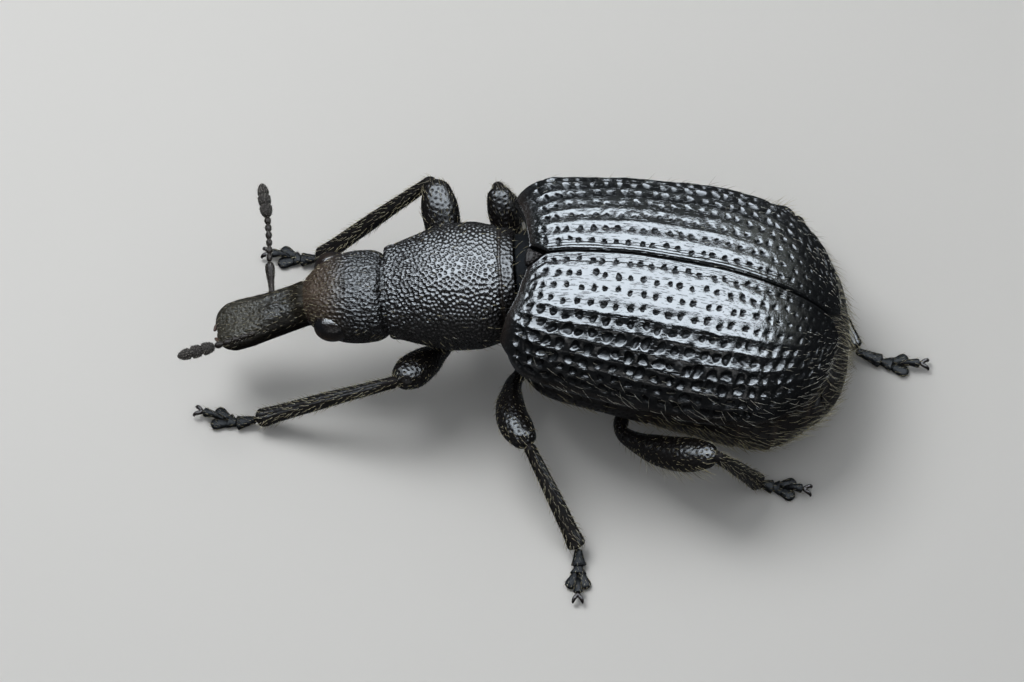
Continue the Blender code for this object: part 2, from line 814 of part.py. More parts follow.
# A femur's radii are its stem's plus swell times its swelling, along these shares of its length
FEMUR_SHARES = (0, 0.12, 0.3, 0.5, 0.75, 0.92, 1.0)
FEMUR_STEM = np.array((0.048, 0.052, 0.055, 0.055, 0.055, 0.055, 0.052))
FEMUR_SWELLING_HIGH = np.array((0.0, 0.0, 0.012, 0.042, 0.055, 0.030, 0.008))
FEMUR_SWELLING_WIDE = np.array((0.0, 0.0, 0.016, 0.050, 0.064, 0.036, 0.012))
TIBIA_SIZE = curve([0, 0.07, 0.14, 0.5, 0.85, 0.96, 1.0], [0.034, 0.050, 0.045, 0.054, 0.059, 0.065, 0.058])
KNEE_INSET = 0.02
KNEE_ROOM = 1.6 * GAP
ANKLE_RADIUS = 0.050

# Foot: heights over the floor, then half widths and half thicknesses of each joint
FIRST_JOINT = ((0.0, 0.6, 1.0), (0.030, 0.046, 0.054), (0.028, 0.032, 0.035))
SECOND_JOINT = ((0.0, 0.7, 1.0), (0.028, 0.050, 0.058), (0.026, 0.028, 0.030))
LOBE = ((0.0, 0.6, 1.0), (0.026, 0.044, 0.034), (0.026, 0.027, 0.025))
LAST_JOINT = ((0.0, 0.5, 1.0), (0.020, 0.026, 0.034), (0.020, 0.025, 0.031))
CLAW = ((0.0, 0.4, 1.0), (0.015, 0.015, 0.005), (0.016, 0.016, 0.005))
JOINT_HEIGHT = 0.0325
LOBE_HEIGHT = 0.0215
LOBE_BACK = 0.05
LOBE_FRONT = 0.070
LOBE_SPREAD = (0.022, 0.060)
LAST_JOINT_HEIGHTS = (0.036, 0.068, 0.058)
CLAW_LENGTH = 0.060
CLAW_SPREAD = 0.034
CLAW_DROP = 0.044
KNUCKLE_RADIUS = 0.021
FLOOR_REACH = 9.0


def coxa_egg(spec, grow=0.0):
    (centre, radii), side, frame = spec
    return egg((centre[0], side * centre[1], centre[2]), radii, frame, 10, 7, grow)


def joint(path, sizes, sides=8, samples=3, grow=0.0):
    """Limb of a foot from its path and the table of its sizes."""
    shares, wide, flat = sizes
    wide = curve(shares, np.array(wide) + grow)
    flat = curve(shares, np.array(flat) + grow)
    return limb(path, wide, flat, sides, samples)


def leg(name, spec):
    coxa = coxa_egg(spec["coxa"])
    knee = np.array(spec["femur"][-1], float)
    ankle = np.array(spec["ankle"], float)
    high = curve(FEMUR_SHARES, FEMUR_STEM + spec["swell"] * FEMUR_SWELLING_HIGH)
    wide = curve(FEMUR_SHARES, FEMUR_STEM + spec["swell"] * FEMUR_SWELLING_WIDE)
    femur = limb(spec["femur"], wide, high, sides=12, samples=11)
    direction = (ankle - knee) / np.linalg.norm(ankle - knee)
    top = knee + direction * KNEE_INSET
    tibia = tube([top, ankle - direction * GAP], TIBIA_SIZE, sides=9, samples=8)
    carve(femur, [coxa_egg(spec["coxa"], GAP), tube([top, ankle], TIBIA_SIZE, KNEE_ROOM, sides=10, samples=4)])
    tarsus, claws = foot_pieces(spec, ankle)
    carve(tibia, [egg(ankle, (ANKLE_RADIUS, ANKLE_RADIUS, ANKLE_RADIUS), None, 8, 6)])
    return coxa, femur, tibia, tarsus, claws


def floor_block():
    corners, faces = block((-FLOOR_REACH, -FLOOR_REACH, -FLOOR_REACH), (FLOOR_REACH, FLOOR_REACH, 0.0))
    return make_object("floor", corners, faces)


def claw_path(end, heading, across):
    """One claw, out from the end of the last joint and bent down to its tip."""
    return [
        end + heading * 0.006 + across * 0.004,
        end + heading * CLAW_LENGTH * 0.7 + across * CLAW_SPREAD * 0.8,
        end + heading * CLAW_LENGTH + across * CLAW_SPREAD - UP * CLAW_DROP,
    ]


def foot_pieces(spec, ankle):
    """Foot with its two-lobed third joint, flat where it stands, and its pair of claws."""
    first, lobes, tip = [np.array((*p, 0.0)) for p in spec["foot"]]
    heading = tip - lobes
    heading /= np.linalg.norm(heading)
    across = np.array([-heading[1], heading[0], 0.0])
    pieces = [
        joint([ankle + (first - ankle) * 0.05, first + UP * JOINT_HEIGHT], FIRST_JOINT),
        joint([first - heading * 0.01 + UP * JOINT_HEIGHT, lobes - heading * 0.04 + UP * JOINT_HEIGHT],
              SECOND_JOINT),
    ]
    for side in (-1, 1):
        back = lobes - heading * LOBE_BACK + across * side * LOBE_SPREAD[0] + UP * LOBE_HEIGHT
        front = lobes + heading * LOBE_FRONT + across * side * LOBE_SPREAD[1] + UP * LOBE_HEIGHT
        pieces.append(joint([back, front], LOBE))
    root = lobes - heading * 0.01
    end = tip - heading * (CLAW_LENGTH - 0.015)
    heights = LAST_JOINT_HEIGHTS
    pieces.append(joint([root + UP * heights[0], (root + end) / 2 + UP * heights[1], end + UP * heights[2]],
                        LAST_JOINT, samples=5))
    tarsus = join("tarsus", pieces)
    carve(tarsus, [floor_block()])
    end = end + UP * heights[2]
    centre = end + heading * KNUCKLE_RADIUS * 0.6
    radii = (KNUCKLE_RADIUS, KNUCKLE_RADIUS, KNUCKLE_RADIUS)
    paths = [claw_path(end, heading, across * side) for side in (-1, 1)]
    claws = join("claws", [egg(centre, radii, None, 8, 5)] + [joint(p, CLAW, 5, 4) for p in paths])
    carve(tarsus, [egg(centre, radii, None, 8, 5, GAP)] + [joint(p, CLAW, 6, 4, GAP) for p in paths])
    return tarsus, claws


# Shield between the wing case bases: right half of its outline, then height and share of each layer
SCUTELLUM_OUTLINE = ((-0.05, 0.052), (-0.025, 0.064), (0.02, 0.034), (0.06, 0.008))
SCUTELLUM_LAYERS = ((-0.03, 0.92), (0.0, 1.0), (0.014, 0.8))
SCUTELLUM_SINK = 0.012


def scutellum():
    outline = list(SCUTELLUM_OUTLINE) + [(x, -y) for x, y in SCUTELLUM_OUTLINE[::-1]]
    rings = []
    for lift, share in SCUTELLUM_LAYERS:
        line = []
        for x, y in outline:
            roof = CASE_HEIGHT(max(x, 0) / ELYTRA_LENGTH) + CASE_MARGIN(0.0)
            line.append((x * share, y * share, roof - SCUTELLUM_SINK + lift))
        rings.append(in_body(np.array(line)))
    vertices, faces = loft(rings)
    return make_object("scutellum", vertices, faces)


def build():
    nodes = []
    for side, sign in (("left", -1), ("right", 1)):
        nodes.append(finish(elytron(sign), "wing_case", f"elytron_{side}"))
    nodes.append(finish(scutellum(), "wing_case", "scutellum"))

    thorax = thorax_underside()
    carve(thorax, [coxa_egg((c, s, in_body), GAP) for c in (MID_COXA, HIND_COXA) for s in (-1, 1)])
    abdomen, plate = abdomen_and_pygidium()
    carve(abdomen, [coxa_egg((HIND_COXA, s, in_body), GAP) for s in (-1, 1)])
    nodes.append(finish(thorax, "body_shell", "thorax_underside"))
    nodes.append(finish(abdomen, "body_shell", "abdomen"))
    nodes.append(finish(plate, "body_shell", "pygidium"))

    front = prothorax()
    carve(front, [coxa_egg((FORE_COXA, s, in_fore), GAP) for s in (-1, 1)])
    nodes.append(finish(front, "body_shell", "prothorax"))

    head = head_solid()
    carve(head, [eye_egg(s, GAP) for s in (-1, 1)])
    nodes.append(finish(head, "head_shell", "head"))
    for side, sign in (("left", -1), ("right", 1)):
        nodes.append(finish(eye_egg(sign), "eye_lens", f"eye_{side}"))
    beak = rostrum_solid()
    cutters = []
    for side, sign in (("left", -1), ("right", 1)):
        cutters += [mandible(sign, GAP), scape(side, GAP), funicle(side, GAP)]
        nodes.append(finish(mandible(sign), "claw_horn", f"mandible_{side}"))
        nodes.append(finish(scape(side), "antenna_shell", f"antenna_scape_{side}"))
        nodes.append(finish(funicle(side), "antenna_shell", f"antenna_funicle_{side}"))
        nodes.append(finish(club(side), "club_felt", f"antenna_club_{side}"))
    carve(beak, cutters)
    nodes.append(finish(beak, "rostrum_shell", "rostrum"))

    for name, spec in LEGS.items():
        coxa, femur, tibia, tarsus, claws = leg(name, spec)
        nodes.append(finish(coxa, "leg_shell", f"coxa_{name}"))
        nodes.append(finish(femur, "leg_shell", f"femur_{name}"))
        nodes.append(finish(tibia, "leg_shell", f"tibia_{name}"))
        nodes.append(finish(tarsus, "leg_shell", f"tarsus_{name}"))
        nodes.append(finish(claws, "claw_horn", f"claws_{name}"))

    points = np.vstack([np.array([v.co for v in node.data.vertices]) for node in nodes])
    low = points.min(0)
    high = points.max(0)
    shift = Matrix.Translation((-(low[0] + high[0]) / 2, -(low[1] + high[1]) / 2, -low[2]))
    for node in nodes:
        node.data.transform(shift)
        node.data.update()
    return nodes


clear_scene()
MATERIALS = make_materials()
NODES = build()
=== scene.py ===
"""Looks of the birch leaf-rolling weevil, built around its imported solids.

Shapes are worked out in millimetres in the same frames as the solids, with the head
towards -X, the animal's left side towards -Y and up +Z, then set down in the row frame.
"""

import json
import math

import bmesh
import bpy
import numpy as np
from mathutils import Matrix, Vector

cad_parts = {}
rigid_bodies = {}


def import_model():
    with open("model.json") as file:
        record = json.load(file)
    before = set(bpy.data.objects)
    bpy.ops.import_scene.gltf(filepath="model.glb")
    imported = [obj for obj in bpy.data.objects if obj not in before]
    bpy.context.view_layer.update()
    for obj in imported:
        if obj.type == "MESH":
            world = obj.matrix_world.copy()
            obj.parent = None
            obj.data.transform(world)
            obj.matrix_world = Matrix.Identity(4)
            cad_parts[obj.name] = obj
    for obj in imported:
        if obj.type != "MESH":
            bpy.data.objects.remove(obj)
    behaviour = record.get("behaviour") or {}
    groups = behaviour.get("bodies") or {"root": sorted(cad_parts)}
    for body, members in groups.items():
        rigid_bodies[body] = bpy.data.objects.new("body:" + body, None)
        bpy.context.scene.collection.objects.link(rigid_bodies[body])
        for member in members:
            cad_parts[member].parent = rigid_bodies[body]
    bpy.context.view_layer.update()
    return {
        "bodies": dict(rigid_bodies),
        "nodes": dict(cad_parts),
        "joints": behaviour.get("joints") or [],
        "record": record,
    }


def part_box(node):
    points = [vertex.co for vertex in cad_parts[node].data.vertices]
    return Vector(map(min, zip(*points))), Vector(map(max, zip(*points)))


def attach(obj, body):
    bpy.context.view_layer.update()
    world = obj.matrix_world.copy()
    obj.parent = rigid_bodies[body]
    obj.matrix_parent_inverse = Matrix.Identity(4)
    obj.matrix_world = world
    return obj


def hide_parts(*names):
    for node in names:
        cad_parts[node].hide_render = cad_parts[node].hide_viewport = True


MM = 0.001
SMALL = 1e-6
SIDES = {"left": -1, "right": 1}

# Rings of each skin and points in a ring
GRIDS = {
    "prothorax": (175, 440),
    "head": (150, 340),
    "eye": (120, 200),
    "rostrum": (170, 220),
    "mandible": (30, 24),
    "scape": (40, 24),
    "funicle": (140, 24),
    "club": (90, 36),
    "coxa": (60, 80),
    "femur": (150, 90),
    "tibia": (150, 64),
    "joint": (40, 28),
    "knuckle": (20, 24),
}

# Stance of the body, in degrees and millimetres
AXIS_HEIGHT = 1.08
BODY_PITCH = 9.0
FORE_PITCH = -14.0
FORE_YAW = 8.0
FORE_SHIFT = (-0.09, 0.02, 0.0)
HEAD_PITCH = -5.0
HEAD_YAW = -2.0
NECK = (-0.90, 0.0, -0.05)
ROSTRUM_PITCH = -13.0
ROSTRUM_YAW = 7.0
ROSTRUM_ROOT = (-1.46, 0.0, -0.09)

# Camera of the photograph
CAMERA_TURN = 5.5
CAMERA_HEIGHT = 62.0
CAMERA_DISTANCE = 60.0
CAMERA_AIM = (0.35, 0.0, 0.98)
PIXELS_PER_MM = 140.5
PHOTO_WIDTH = 1024
PHOTO_HEIGHT = 682
AIM_PIXEL = (573, 292)
SENSOR = 36.0
CAMERA_CLIP = (0.001, 10.0)

# Lights: place, aim, size, power, colour, and whether only the shine shows them
WHITE = (1.0, 1.0, 1.0)
LIGHTS = {
    "softbox": ((2, 6, 20), (2, 6, 0), (52, 22), 0.054, (0.82, 0.91, 1.0), True),
    "far side": ((3, 60, 30), (3, 0, 1), (120, 50), 0.0066, (0.85, 0.95, 0.95), True),
    "behind": ((46, 34, 26), (3, 0, 0), (60, 40), 0.005, (0.9, 0.95, 0.88), True),
    "near edge": ((4, -40, 10), (1, 0, 1), (50, 4), 0.0022, WHITE, True),
    "key": ((-9, 7, 20), (0, 0, 0), (12, 12), 0.0029, WHITE, False),
    "fill": ((0, -10, 150), (0, 0, 0), (500, 500), 0.32, WHITE, False),
}
SKY_COLOUR = (0.85, 0.92, 1.0, 1)
SKY_STRENGTH = 0.07
FLOOR_SIZE = 0.6


# Curves, frames and paths


def curve(keys, values):
    """Smooth curve through the keys that never overshoots them; it takes arrays."""
    x = np.asarray(keys, float)
    y = np.asarray(values, float)
    step = np.diff(x)
    slope = np.diff(y) / step
    tangent = np.zeros(len(x))
    tangent[0] = slope[0]
    tangent[-1] = slope[-1]
    for i in range(1, len(x) - 1):
        if slope[i - 1] * slope[i] > 0:
            a = 2 * step[i] + step[i - 1]
            b = step[i] + 2 * step[i - 1]
            tangent[i] = (a + b) / (a / slope[i - 1] + b / slope[i])

    def at(t):
        t = np.clip(t, x[0], x[-1])
        i = np.clip(np.searchsorted(x, t, side="right") - 1, 0, len(step) - 1)
        u = (t - x[i]) / step[i]
        return (
            y[i] * (1 + 2 * u) * (1 - u) ** 2
            + tangent[i] * step[i] * u * (1 - u) ** 2
            + y[i + 1] * u * u * (3 - 2 * u)
            + tangent[i + 1] * step[i] * u * u * (u - 1)
        )

    return at


def smooth_step(low, high, value):
    t = np.clip((np.asarray(value, float) - low) / (high - low), 0, 1)
    return t * t * (3 - 2 * t)


def bump_at(value, centre, width):
    return np.exp(-(((np.asarray(value, float) - centre) / width) ** 2))


def turned(points, degrees, pivot, first, second):
    """Points turned about a pivot, from the first axis towards the second."""
    angle = math.radians(degrees)
    p = np.asarray(points, float) - pivot
    ahead = p[..., first] * math.cos(angle) - p[..., second] * math.sin(angle)
    p[..., second] = p[..., first] * math.sin(angle) + p[..., second] * math.cos(angle)
    p[..., first] = ahead
    return p + pivot


def turn_y(points, degrees, pivot=(0, 0, 0)):
    return turned(points, degrees, pivot, 2, 0)


def turn_z(points, degrees, pivot=(0, 0, 0)):
    return turned(points, degrees, pivot, 0, 1)


def in_body(points):
    return turn_y(points, BODY_PITCH) + np.array([0, 0, AXIS_HEIGHT])


def in_fore(points):
    p = np.asarray(points, float) + np.array(FORE_SHIFT)
    return in_body(turn_z(turn_y(p, FORE_PITCH), FORE_YAW))


def in_head(points):
    return in_fore(turn_z(turn_y(points, HEAD_PITCH, NECK), HEAD_YAW, NECK))


def in_rostrum(points):
    return in_head(turn_z(turn_y(points, ROSTRUM_PITCH, ROSTRUM_ROOT), ROSTRUM_YAW, ROSTRUM_ROOT))


def path_at(points, u):
    """Points of a rounded path at shares u of its length."""
    p = np.asarray(points, float)
    if len(p) == 2:
        return p[0] + np.outer(u, p[1] - p[0])
    ext = np.vstack([2 * p[0] - p[1], p, 2 * p[-1] - p[-2]])
    dense = []
    for i in range(1, len(ext) - 2):
        a, b, c, d = ext[i - 1 : i + 3]
        v = np.linspace(0, 1, 40, endpoint=False)[:, None]
        dense.append(
            0.5 * (2 * b + (c - a) * v + (2 * a - 5 * b + 4 * c - d) * v * v
                   + (3 * b - a - 3 * c + d) * v ** 3)
        )
    dense = np.vstack(dense + [p[-1:]])
    length = np.concatenate([[0], np.cumsum(np.linalg.norm(np.diff(dense, axis=0), axis=1))])
    return np.stack([np.interp(u * length[-1], length, dense[:, k]) for k in range(3)], -1)


def unit(vectors):
    return vectors / np.maximum(np.linalg.norm(vectors, axis=-1, keepdims=True), 1e-12)


def around(columns):
    """Angles of a ring's points."""
    return 2 * np.pi * np.arange(columns) / columns


def limb(part, points, wide, thick, caps, shape=None):
    """Rings along a path. caps are the shares of the length rounded at each end."""
    rows, columns = GRIDS[part]
    u = 0.5 * (1 - np.cos(np.pi * np.linspace(0, 1, rows)))
    path = path_at(points, u)
    tangent = unit(np.gradient(path, np.maximum(np.gradient(u), SMALL)[0], axis=0))
    side = unit(np.cross(tangent, np.array([0.0, 0.0, 1.0])))
    high = np.cross(side, tangent)
    angle = around(columns)
    start, end = caps
    round_off = np.sqrt(1 - (1 - np.clip(u / start, 0, 1)) ** 2 + SMALL)
    round_off *= np.sqrt(1 - (1 - np.clip((1 - u) / end, 0, 1)) ** 2 + SMALL)
    factor = shape(u[:, None], angle[None, :]) if shape else np.ones((rows, columns))
    a = (wide(u) * round_off)[:, None] * np.cos(angle) * factor
    b = (thick(u) * round_off)[:, None] * np.sin(angle) * factor
    return path[:, None] + side[:, None] * a[..., None] + high[:, None] * b[..., None]


def barrel(part, stations, ends, power, height):
    """The x of each ring, the angles in a ring, and ovals across X through a row of stations."""
    rows, columns = GRIDS[part]
    x = np.linspace(*ends, rows)
    keys, *sizes = np.array(stations)[::-1].T
    width, up, down = [curve(keys, size)(x)[:, None] for size in sizes]
    angle = around(columns)
    s = np.sin(angle)
    c = np.cos(angle)
    y = width * np.sign(s) * np.abs(s) ** (2 / power)
    z = height + np.where(c >= 0, up, down) * np.sign(c) * np.abs(c) ** (2 / power)
    return x, angle, np.stack([np.broadcast_to(x[:, None], y.shape), y, z], -1)


def egg(part, centre, radii):
    rows, columns = GRIDS[part]
    polar = np.pi * np.linspace(0.01, 0.99, rows)[:, None]
    angle = around(columns)[None, :]
    ball = [np.sin(polar) * np.cos(angle), np.sin(polar) * np.sin(angle), np.cos(polar) + 0 * angle]
    return np.stack(ball, -1) * np.asarray(radii) + np.asarray(centre)


# Meshes


def grid_faces(rows, columns):
    """Faces between rings that close on themselves."""
    i, k = np.meshgrid(np.arange(rows - 1), np.arange(columns), indexing="ij")
    a = i * columns + k
    b = i * columns + (k + 1) % columns
    return np.stack([a, b, b + columns, a + columns], -1).reshape(-1, 4).tolist()


def store_values(mesh, masks):
    """Keeps named values on a mesh's vertices."""
    for key, values in masks.items():
        values = np.asarray(values, np.float32)
        kind = "FLOAT" if values.ndim == 1 else "FLOAT_VECTOR"
        attribute = mesh.attributes.new(key, kind, "POINT")
        attribute.data.foreach_set("value" if values.ndim == 1 else "vector", values.ravel())


def new_object(name, data):
    made = bpy.data.objects.new(name, data)
    bpy.context.scene.collection.objects.link(made)
    return made


def make_object(name, vertices, faces, masks):
    """Mesh object in millimetres, smooth and facing out, with named values on its vertices."""
    mesh = bpy.data.meshes.new(name)
    mesh.from_pydata(np.asarray(vertices, float).tolist(), [], faces)
    store_values(mesh, masks)
    work = bmesh.new()
    work.from_mesh(mesh)
    if work.calc_volume(signed=True) < 0:
        bmesh.ops.reverse_faces(work, faces=work.faces)
    work.to_mesh(mesh)
    work.free()
    mesh.shade_smooth()
    return new_object(name, mesh)


def solid(name, rings, **masks):
    """Closed skin over rings; a mask is a number or an array over (row, column)."""
    rows, columns = rings.shape[:2]
    vertices = np.vstack([rings.reshape(-1, 3), rings[0].mean(0)[None], rings[-1].mean(0)[None]])
    faces = grid_faces(rows, columns)
    for row, hub in ((0, rows * columns), (rows - 1, rows * columns + 1)):
        for k in range(columns):
            a = row * columns + k
            b = row * columns + (k + 1) % columns
            faces.append((b, a, hub) if row == 0 else (a, b, hub))
    v, u = np.meshgrid(np.arange(rows) / (rows - 1), np.arange(columns) / columns, indexing="ij")
    masks["unwrap"] = np.stack([u, v, np.zeros_like(u)], -1)
    if "lie" not in masks:
        masks["lie"] = np.gradient(rings, axis=0)
    flat = {}
    for key, values in masks.items():
        values = np.asarray(values, float)
        values = np.broadcast_to(values, (rows, columns) + values.shape[2:])
        spread = values.reshape((rows * columns,) + values.shape[2:])
        flat[key] = np.concatenate([spread, values[:1].mean(1), values[-1:].mean(1)])
    return make_object(name, vertices, faces, flat)


def merged(name, things):
    """One object from several, each kept as its own closed shell."""
    work = bmesh.new()
    for thing in things:
        work.from_mesh(thing.data)
    mesh = bpy.data.meshes.new(name)
    work.to_mesh(mesh)
    work.free()
    for thing in things:
        bpy.data.objects.remove(thing, do_unlink=True)
    mesh.shade_smooth()
    return new_object(name, mesh)


def plain_mesh(thing):
    """Swaps an object's live modifiers for the mesh they make."""
    bpy.context.view_layer.update()
    graph = bpy.context.evaluated_depsgraph_get()
    mesh = bpy.data.meshes.new_from_object(thing.evaluated_get(graph))
    thing.modifiers.clear()
    thing.data = mesh
    return thing


def fuse(thing, voxel):
    """Blends touching shells into one skin."""
    modifier = thing.modifiers.new("fuse", "REMESH")
    modifier.mode = "VOXEL"
    modifier.voxel_size = voxel
    modifier.use_smooth_shade = True
    smooth = thing.modifiers.new("smooth", "SMOOTH")
    smooth.factor = 0.5
    smooth.iterations = 2
    return plain_mesh(thing)


# Node graphs


def operator(operation):
    """What an arithmetic sign does to a value, and its reflected form."""
    return (
        lambda self, other: self.maths(operation, self, other),
        lambda self, other: self.maths(operation, other, self),
    )


class Value:
    """A node's output. Arithmetic on it adds Math nodes to its graph."""

    def __init__(self, graph, socket):
        self.graph = graph
        self.socket = socket

    def maths(self, operation, *parts):
        return self.graph.add("ShaderNodeMath", {"operation": operation}, dict(enumerate(parts)))["Value"]

    __add__, __radd__ = operator("ADD")
    __sub__, __rsub__ = operator("SUBTRACT")
    __mul__, __rmul__ = operator("MULTIPLY")
    __truediv__, __rtruediv__ = operator("DIVIDE")

    def step(self, low, high):
        """0 below low and 1 above high, smooth between."""
        edges = {"Value": self, "From Min": low, "From Max": high}
        return self.graph.add("ShaderNodeMapRange", {"interpolation_type": "SMOOTHSTEP"}, edges)["Result"]


class Node:
    """A node whose enabled outputs are read by name."""

    def __init__(self, graph, node):
        self.graph = graph
        self.node = node

    def __getitem__(self, key):
        found = [s for s in self.node.outputs if s.name == key and s.enabled]
        return Value(self.graph, found[0])


class Graph:
    """Adds nodes to a shader or geometry tree."""

    def __init__(self, tree):
        self.tree = tree

    def add(self, kind, settings=None, sockets=None):
        """A node of a kind, with its settings first and then the values or links of its sockets."""
        node = self.tree.nodes.new(kind)
        for key, value in (settings or {}).items():
            setattr(node, key, value)
        for key, value in (sockets or {}).items():
            self.feed(node, key, value)
        return Node(self, node)

    def feed(self, node, key, value):
        if isinstance(key, int):
            socket = node.inputs[key]
        else:
            socket = [s for s in node.inputs if s.name == key and s.enabled][0]
        if isinstance(value, Value):
            self.tree.links.new(value.socket, socket)
        elif isinstance(value, tuple) and socket.type == "RGBA":
            socket.default_value = (*value, 1)
        else:
            socket.default_value = value

    def vector(self, operation, first, second=None):
        """Vector Math on one or two vectors, or on a vector and the number that scales it."""
        sockets = {0: first}
        if second is not None:
            sockets["Scale" if operation == "SCALE" else 1] = second
        return self.add("ShaderNodeVectorMath", {"operation": operation}, sockets)["Vector"]

    def combined(self, x, y, z):
        return self.add("ShaderNodeCombineXYZ", None, {"X": x, "Y": y, "Z": z})["Vector"]

    def named(self, name, kind="FLOAT"):
        """Values that were kept on the mesh under a name."""
        return self.add("GeometryNodeInputNamedAttribute", {"data_type": kind}, {"Name": name})["Attribute"]

    def kept(self, geometry, name, kind, value, domain="POINT"):
        """The geometry with values kept on it under a name."""
        return self.add(
            "GeometryNodeStoreNamedAttribute",
            {"data_type": kind, "domain": domain},
            {"Geometry": geometry, "Name": name, "Value": value},
        )["Geometry"]

    def random(self, kind, low, high, seed):
        return self.add(
            "FunctionNodeRandomValue", {"data_type": kind}, {"Min": low, "Max": high, "Seed": seed}
        )["Value"]

    def moved(self, geometry, offset):
        return self.add("GeometryNodeSetPosition", None, {"Geometry": geometry, "Offset": offset})["Geometry"]

    def scattered(self, source, crowd, share=1.0):
        """Points spread evenly on the mesh, no closer than Spacing and at most crowd to its square."""
        square = source["Spacing"] * source["Spacing"]
        return self.add(
            "GeometryNodeDistributePointsOnFaces",
            {"distribute_method": "POISSON"},
            {"Mesh": source["Mesh"], "Distance Min": source["Spacing"], "Density Max": crowd / square,
             "Density Factor": share, "Seed": source["Seed"]},
        )

    def ended(self, geometry):
        self.add("NodeGroupOutput", None, {"Mesh": geometry})
        return self.tree


def geometry_graph(name, inputs):
    """Empty Geometry Nodes tree with a mesh in, a mesh out and named inputs."""
    tree = bpy.data.node_groups.new(name, "GeometryNodeTree")
    tree.interface.new_socket("Mesh", in_out="INPUT", socket_type="NodeSocketGeometry")
    tree.interface.new_socket("Mesh", in_out="OUTPUT", socket_type="NodeSocketGeometry")
    for key, value in inputs.items():
        kind = "NodeSocketInt" if isinstance(value, int) else "NodeSocketFloat"
        kind = "NodeSocketMaterial" if value is None else kind
        socket = tree.interface.new_socket(key, in_out="INPUT", socket_type=kind)
        if value is not None:
            socket.default_value = value
    graph = Graph(tree)
    return graph, graph.add("NodeGroupInput")


def apply_tree(thing, tree, **values):
    """Runs a Geometry Nodes tree on an object and keeps its plain mesh."""
    modifier = thing.modifiers.new(tree.name, "NODES")
    modifier.node_group = tree
    for item in tree.interface.items_tree:
        key = item.name.lower()
        if item.item_type == "SOCKET" and item.in_out == "INPUT" and key in values:
            modifier[item.identifier] = values[key]
    return plain_mesh(thing)


# Pits and hairs tried per square of their spacing, a pit's raised rim as a share of its depth,
# and how far a hair strays, how its length varies and how thin its tip is
PIT_CROWD = 4.0
HAIR_CROWD = 1.3
PIT_RIM = 0.12
HAIR_STRAY = 0.35
HAIR_LENGTHS = (0.6, 1.1)
HAIR_TIP = 0.12


def pit_tree():
    """Round pits scattered over a skin, deeper where its pit value is higher."""
    graph, source = geometry_graph("pits", {"Spacing": 0.036, "Radius": 0.016, "Depth": 0.008, "Seed": 1})
    share = graph.named("pits")
    spots = graph.scattered(source, PIT_CROWD)
    near = graph.add("GeometryNodeProximity", {"target_element": "POINTS"}, {0: spots["Points"]})
    reach = near["Distance"] / source["Radius"]
    hollow = 1.0 - reach.step(0.12, 1.1)
    rim = reach.step(0.8, 1.15) * (1.0 - reach.step(1.15, 1.7))
    lift = (PIT_RIM * rim - hollow) * source["Depth"] * share
    normal = graph.add("GeometryNodeInputNormal")["Normal"]
    dented = graph.moved(source["Mesh"], graph.vector("SCALE", normal, lift))
    return graph.ended(graph.kept(dented, "hollow", "FLOAT", hollow * share))


def bristle_tree():
    """Tapered, bent hairs on a skin, lying along its lie value and standing out by Lift."""
    graph, source = geometry_graph(
        "bristles",
        {"Spacing": 0.05, "Length": 0.06, "Thickness": 0.004, "Lift": 0.4, "Curl": 0.25,
         "Patch": 0.003, "Seed": 1, "Material": None},
    )
    spots = graph.scattered(source, HAIR_CROWD, graph.named("hair"))
    stray = graph.random("FLOAT_VECTOR", (-HAIR_STRAY,) * 3, (HAIR_STRAY,) * 3, source["Seed"])
    flat = graph.vector("NORMALIZE", graph.named("lie", "FLOAT_VECTOR"))
    raised = graph.vector("SCALE", spots["Normal"], source["Lift"])
    heading = graph.vector("ADD", graph.vector("ADD", flat, stray), raised)
    turn = graph.add(
        "FunctionNodeAxesToRotation",
        {"primary_axis": "Z", "secondary_axis": "X"},
        {0: heading, 1: spots["Normal"]},
    )["Rotation"]
    points = graph.kept(spots["Points"], "turn", "QUATERNION", turn)
    cone = graph.add(
        "GeometryNodeMeshCone",
        {"fill_type": "NGON"},
        {"Vertices": 3, "Side Segments": 4, "Radius Top": HAIR_TIP, "Radius Bottom": 1.0, "Depth": 1.0},
    )["Mesh"]
    place = graph.add("GeometryNodeInputPosition")["Position"]
    parts = graph.add("ShaderNodeSeparateXYZ", None, {0: place})
    height = parts["Z"]
    bend = height * height * source["Curl"] * (-1.0) * (source["Length"] / source["Thickness"])
    hair = graph.moved(cone, graph.combined(bend, 0.0, 0.0))
    tuft = graph.combined(parts["X"] * 0.5 + 0.5, height, 0.0)
    hair = graph.kept(hair, "tuft", "FLOAT_VECTOR", tuft)
    vary = graph.random("FLOAT", *HAIR_LENGTHS, source["Seed"] + 7)
    length = source["Length"] * vary * graph.named("hair_length")
    size = graph.combined(source["Thickness"], source["Thickness"], length)
    turn = graph.named("turn", "QUATERNION")
    planted = graph.add(
        "GeometryNodeInstanceOnPoints",
        None,
        {"Points": points, "Instance": hair, "Rotation": turn, "Scale": size},
    )["Instances"]
    real = graph.add("GeometryNodeRealizeInstances", None, {0: planted})["Geometry"]
    patch = graph.vector("SCALE", graph.named("tuft", "FLOAT_VECTOR"), source["Patch"])
    spot = graph.vector("ADD", graph.named("unwrap", "FLOAT_VECTOR"), patch)
    mapped = graph.kept(real, "OFBake", "FLOAT2", spot, "CORNER")
    painted = graph.add(
        "GeometryNodeSetMaterial", None, {"Geometry": mapped, "Material": source["Material"]}
    )["Geometry"]
    return graph.ended(graph.add("GeometryNodeSetShadeSmooth", None, {"Geometry": painted})["Geometry"])


# Materials


def new_material(name, look):
    material = bpy.data.materials.new(name)
    material.use_nodes = True
    material.node_tree.nodes.clear()
    graph = Graph(material.node_tree)
    graph.add("ShaderNodeOutputMaterial", None, {"Surface": look(graph)})
    return material


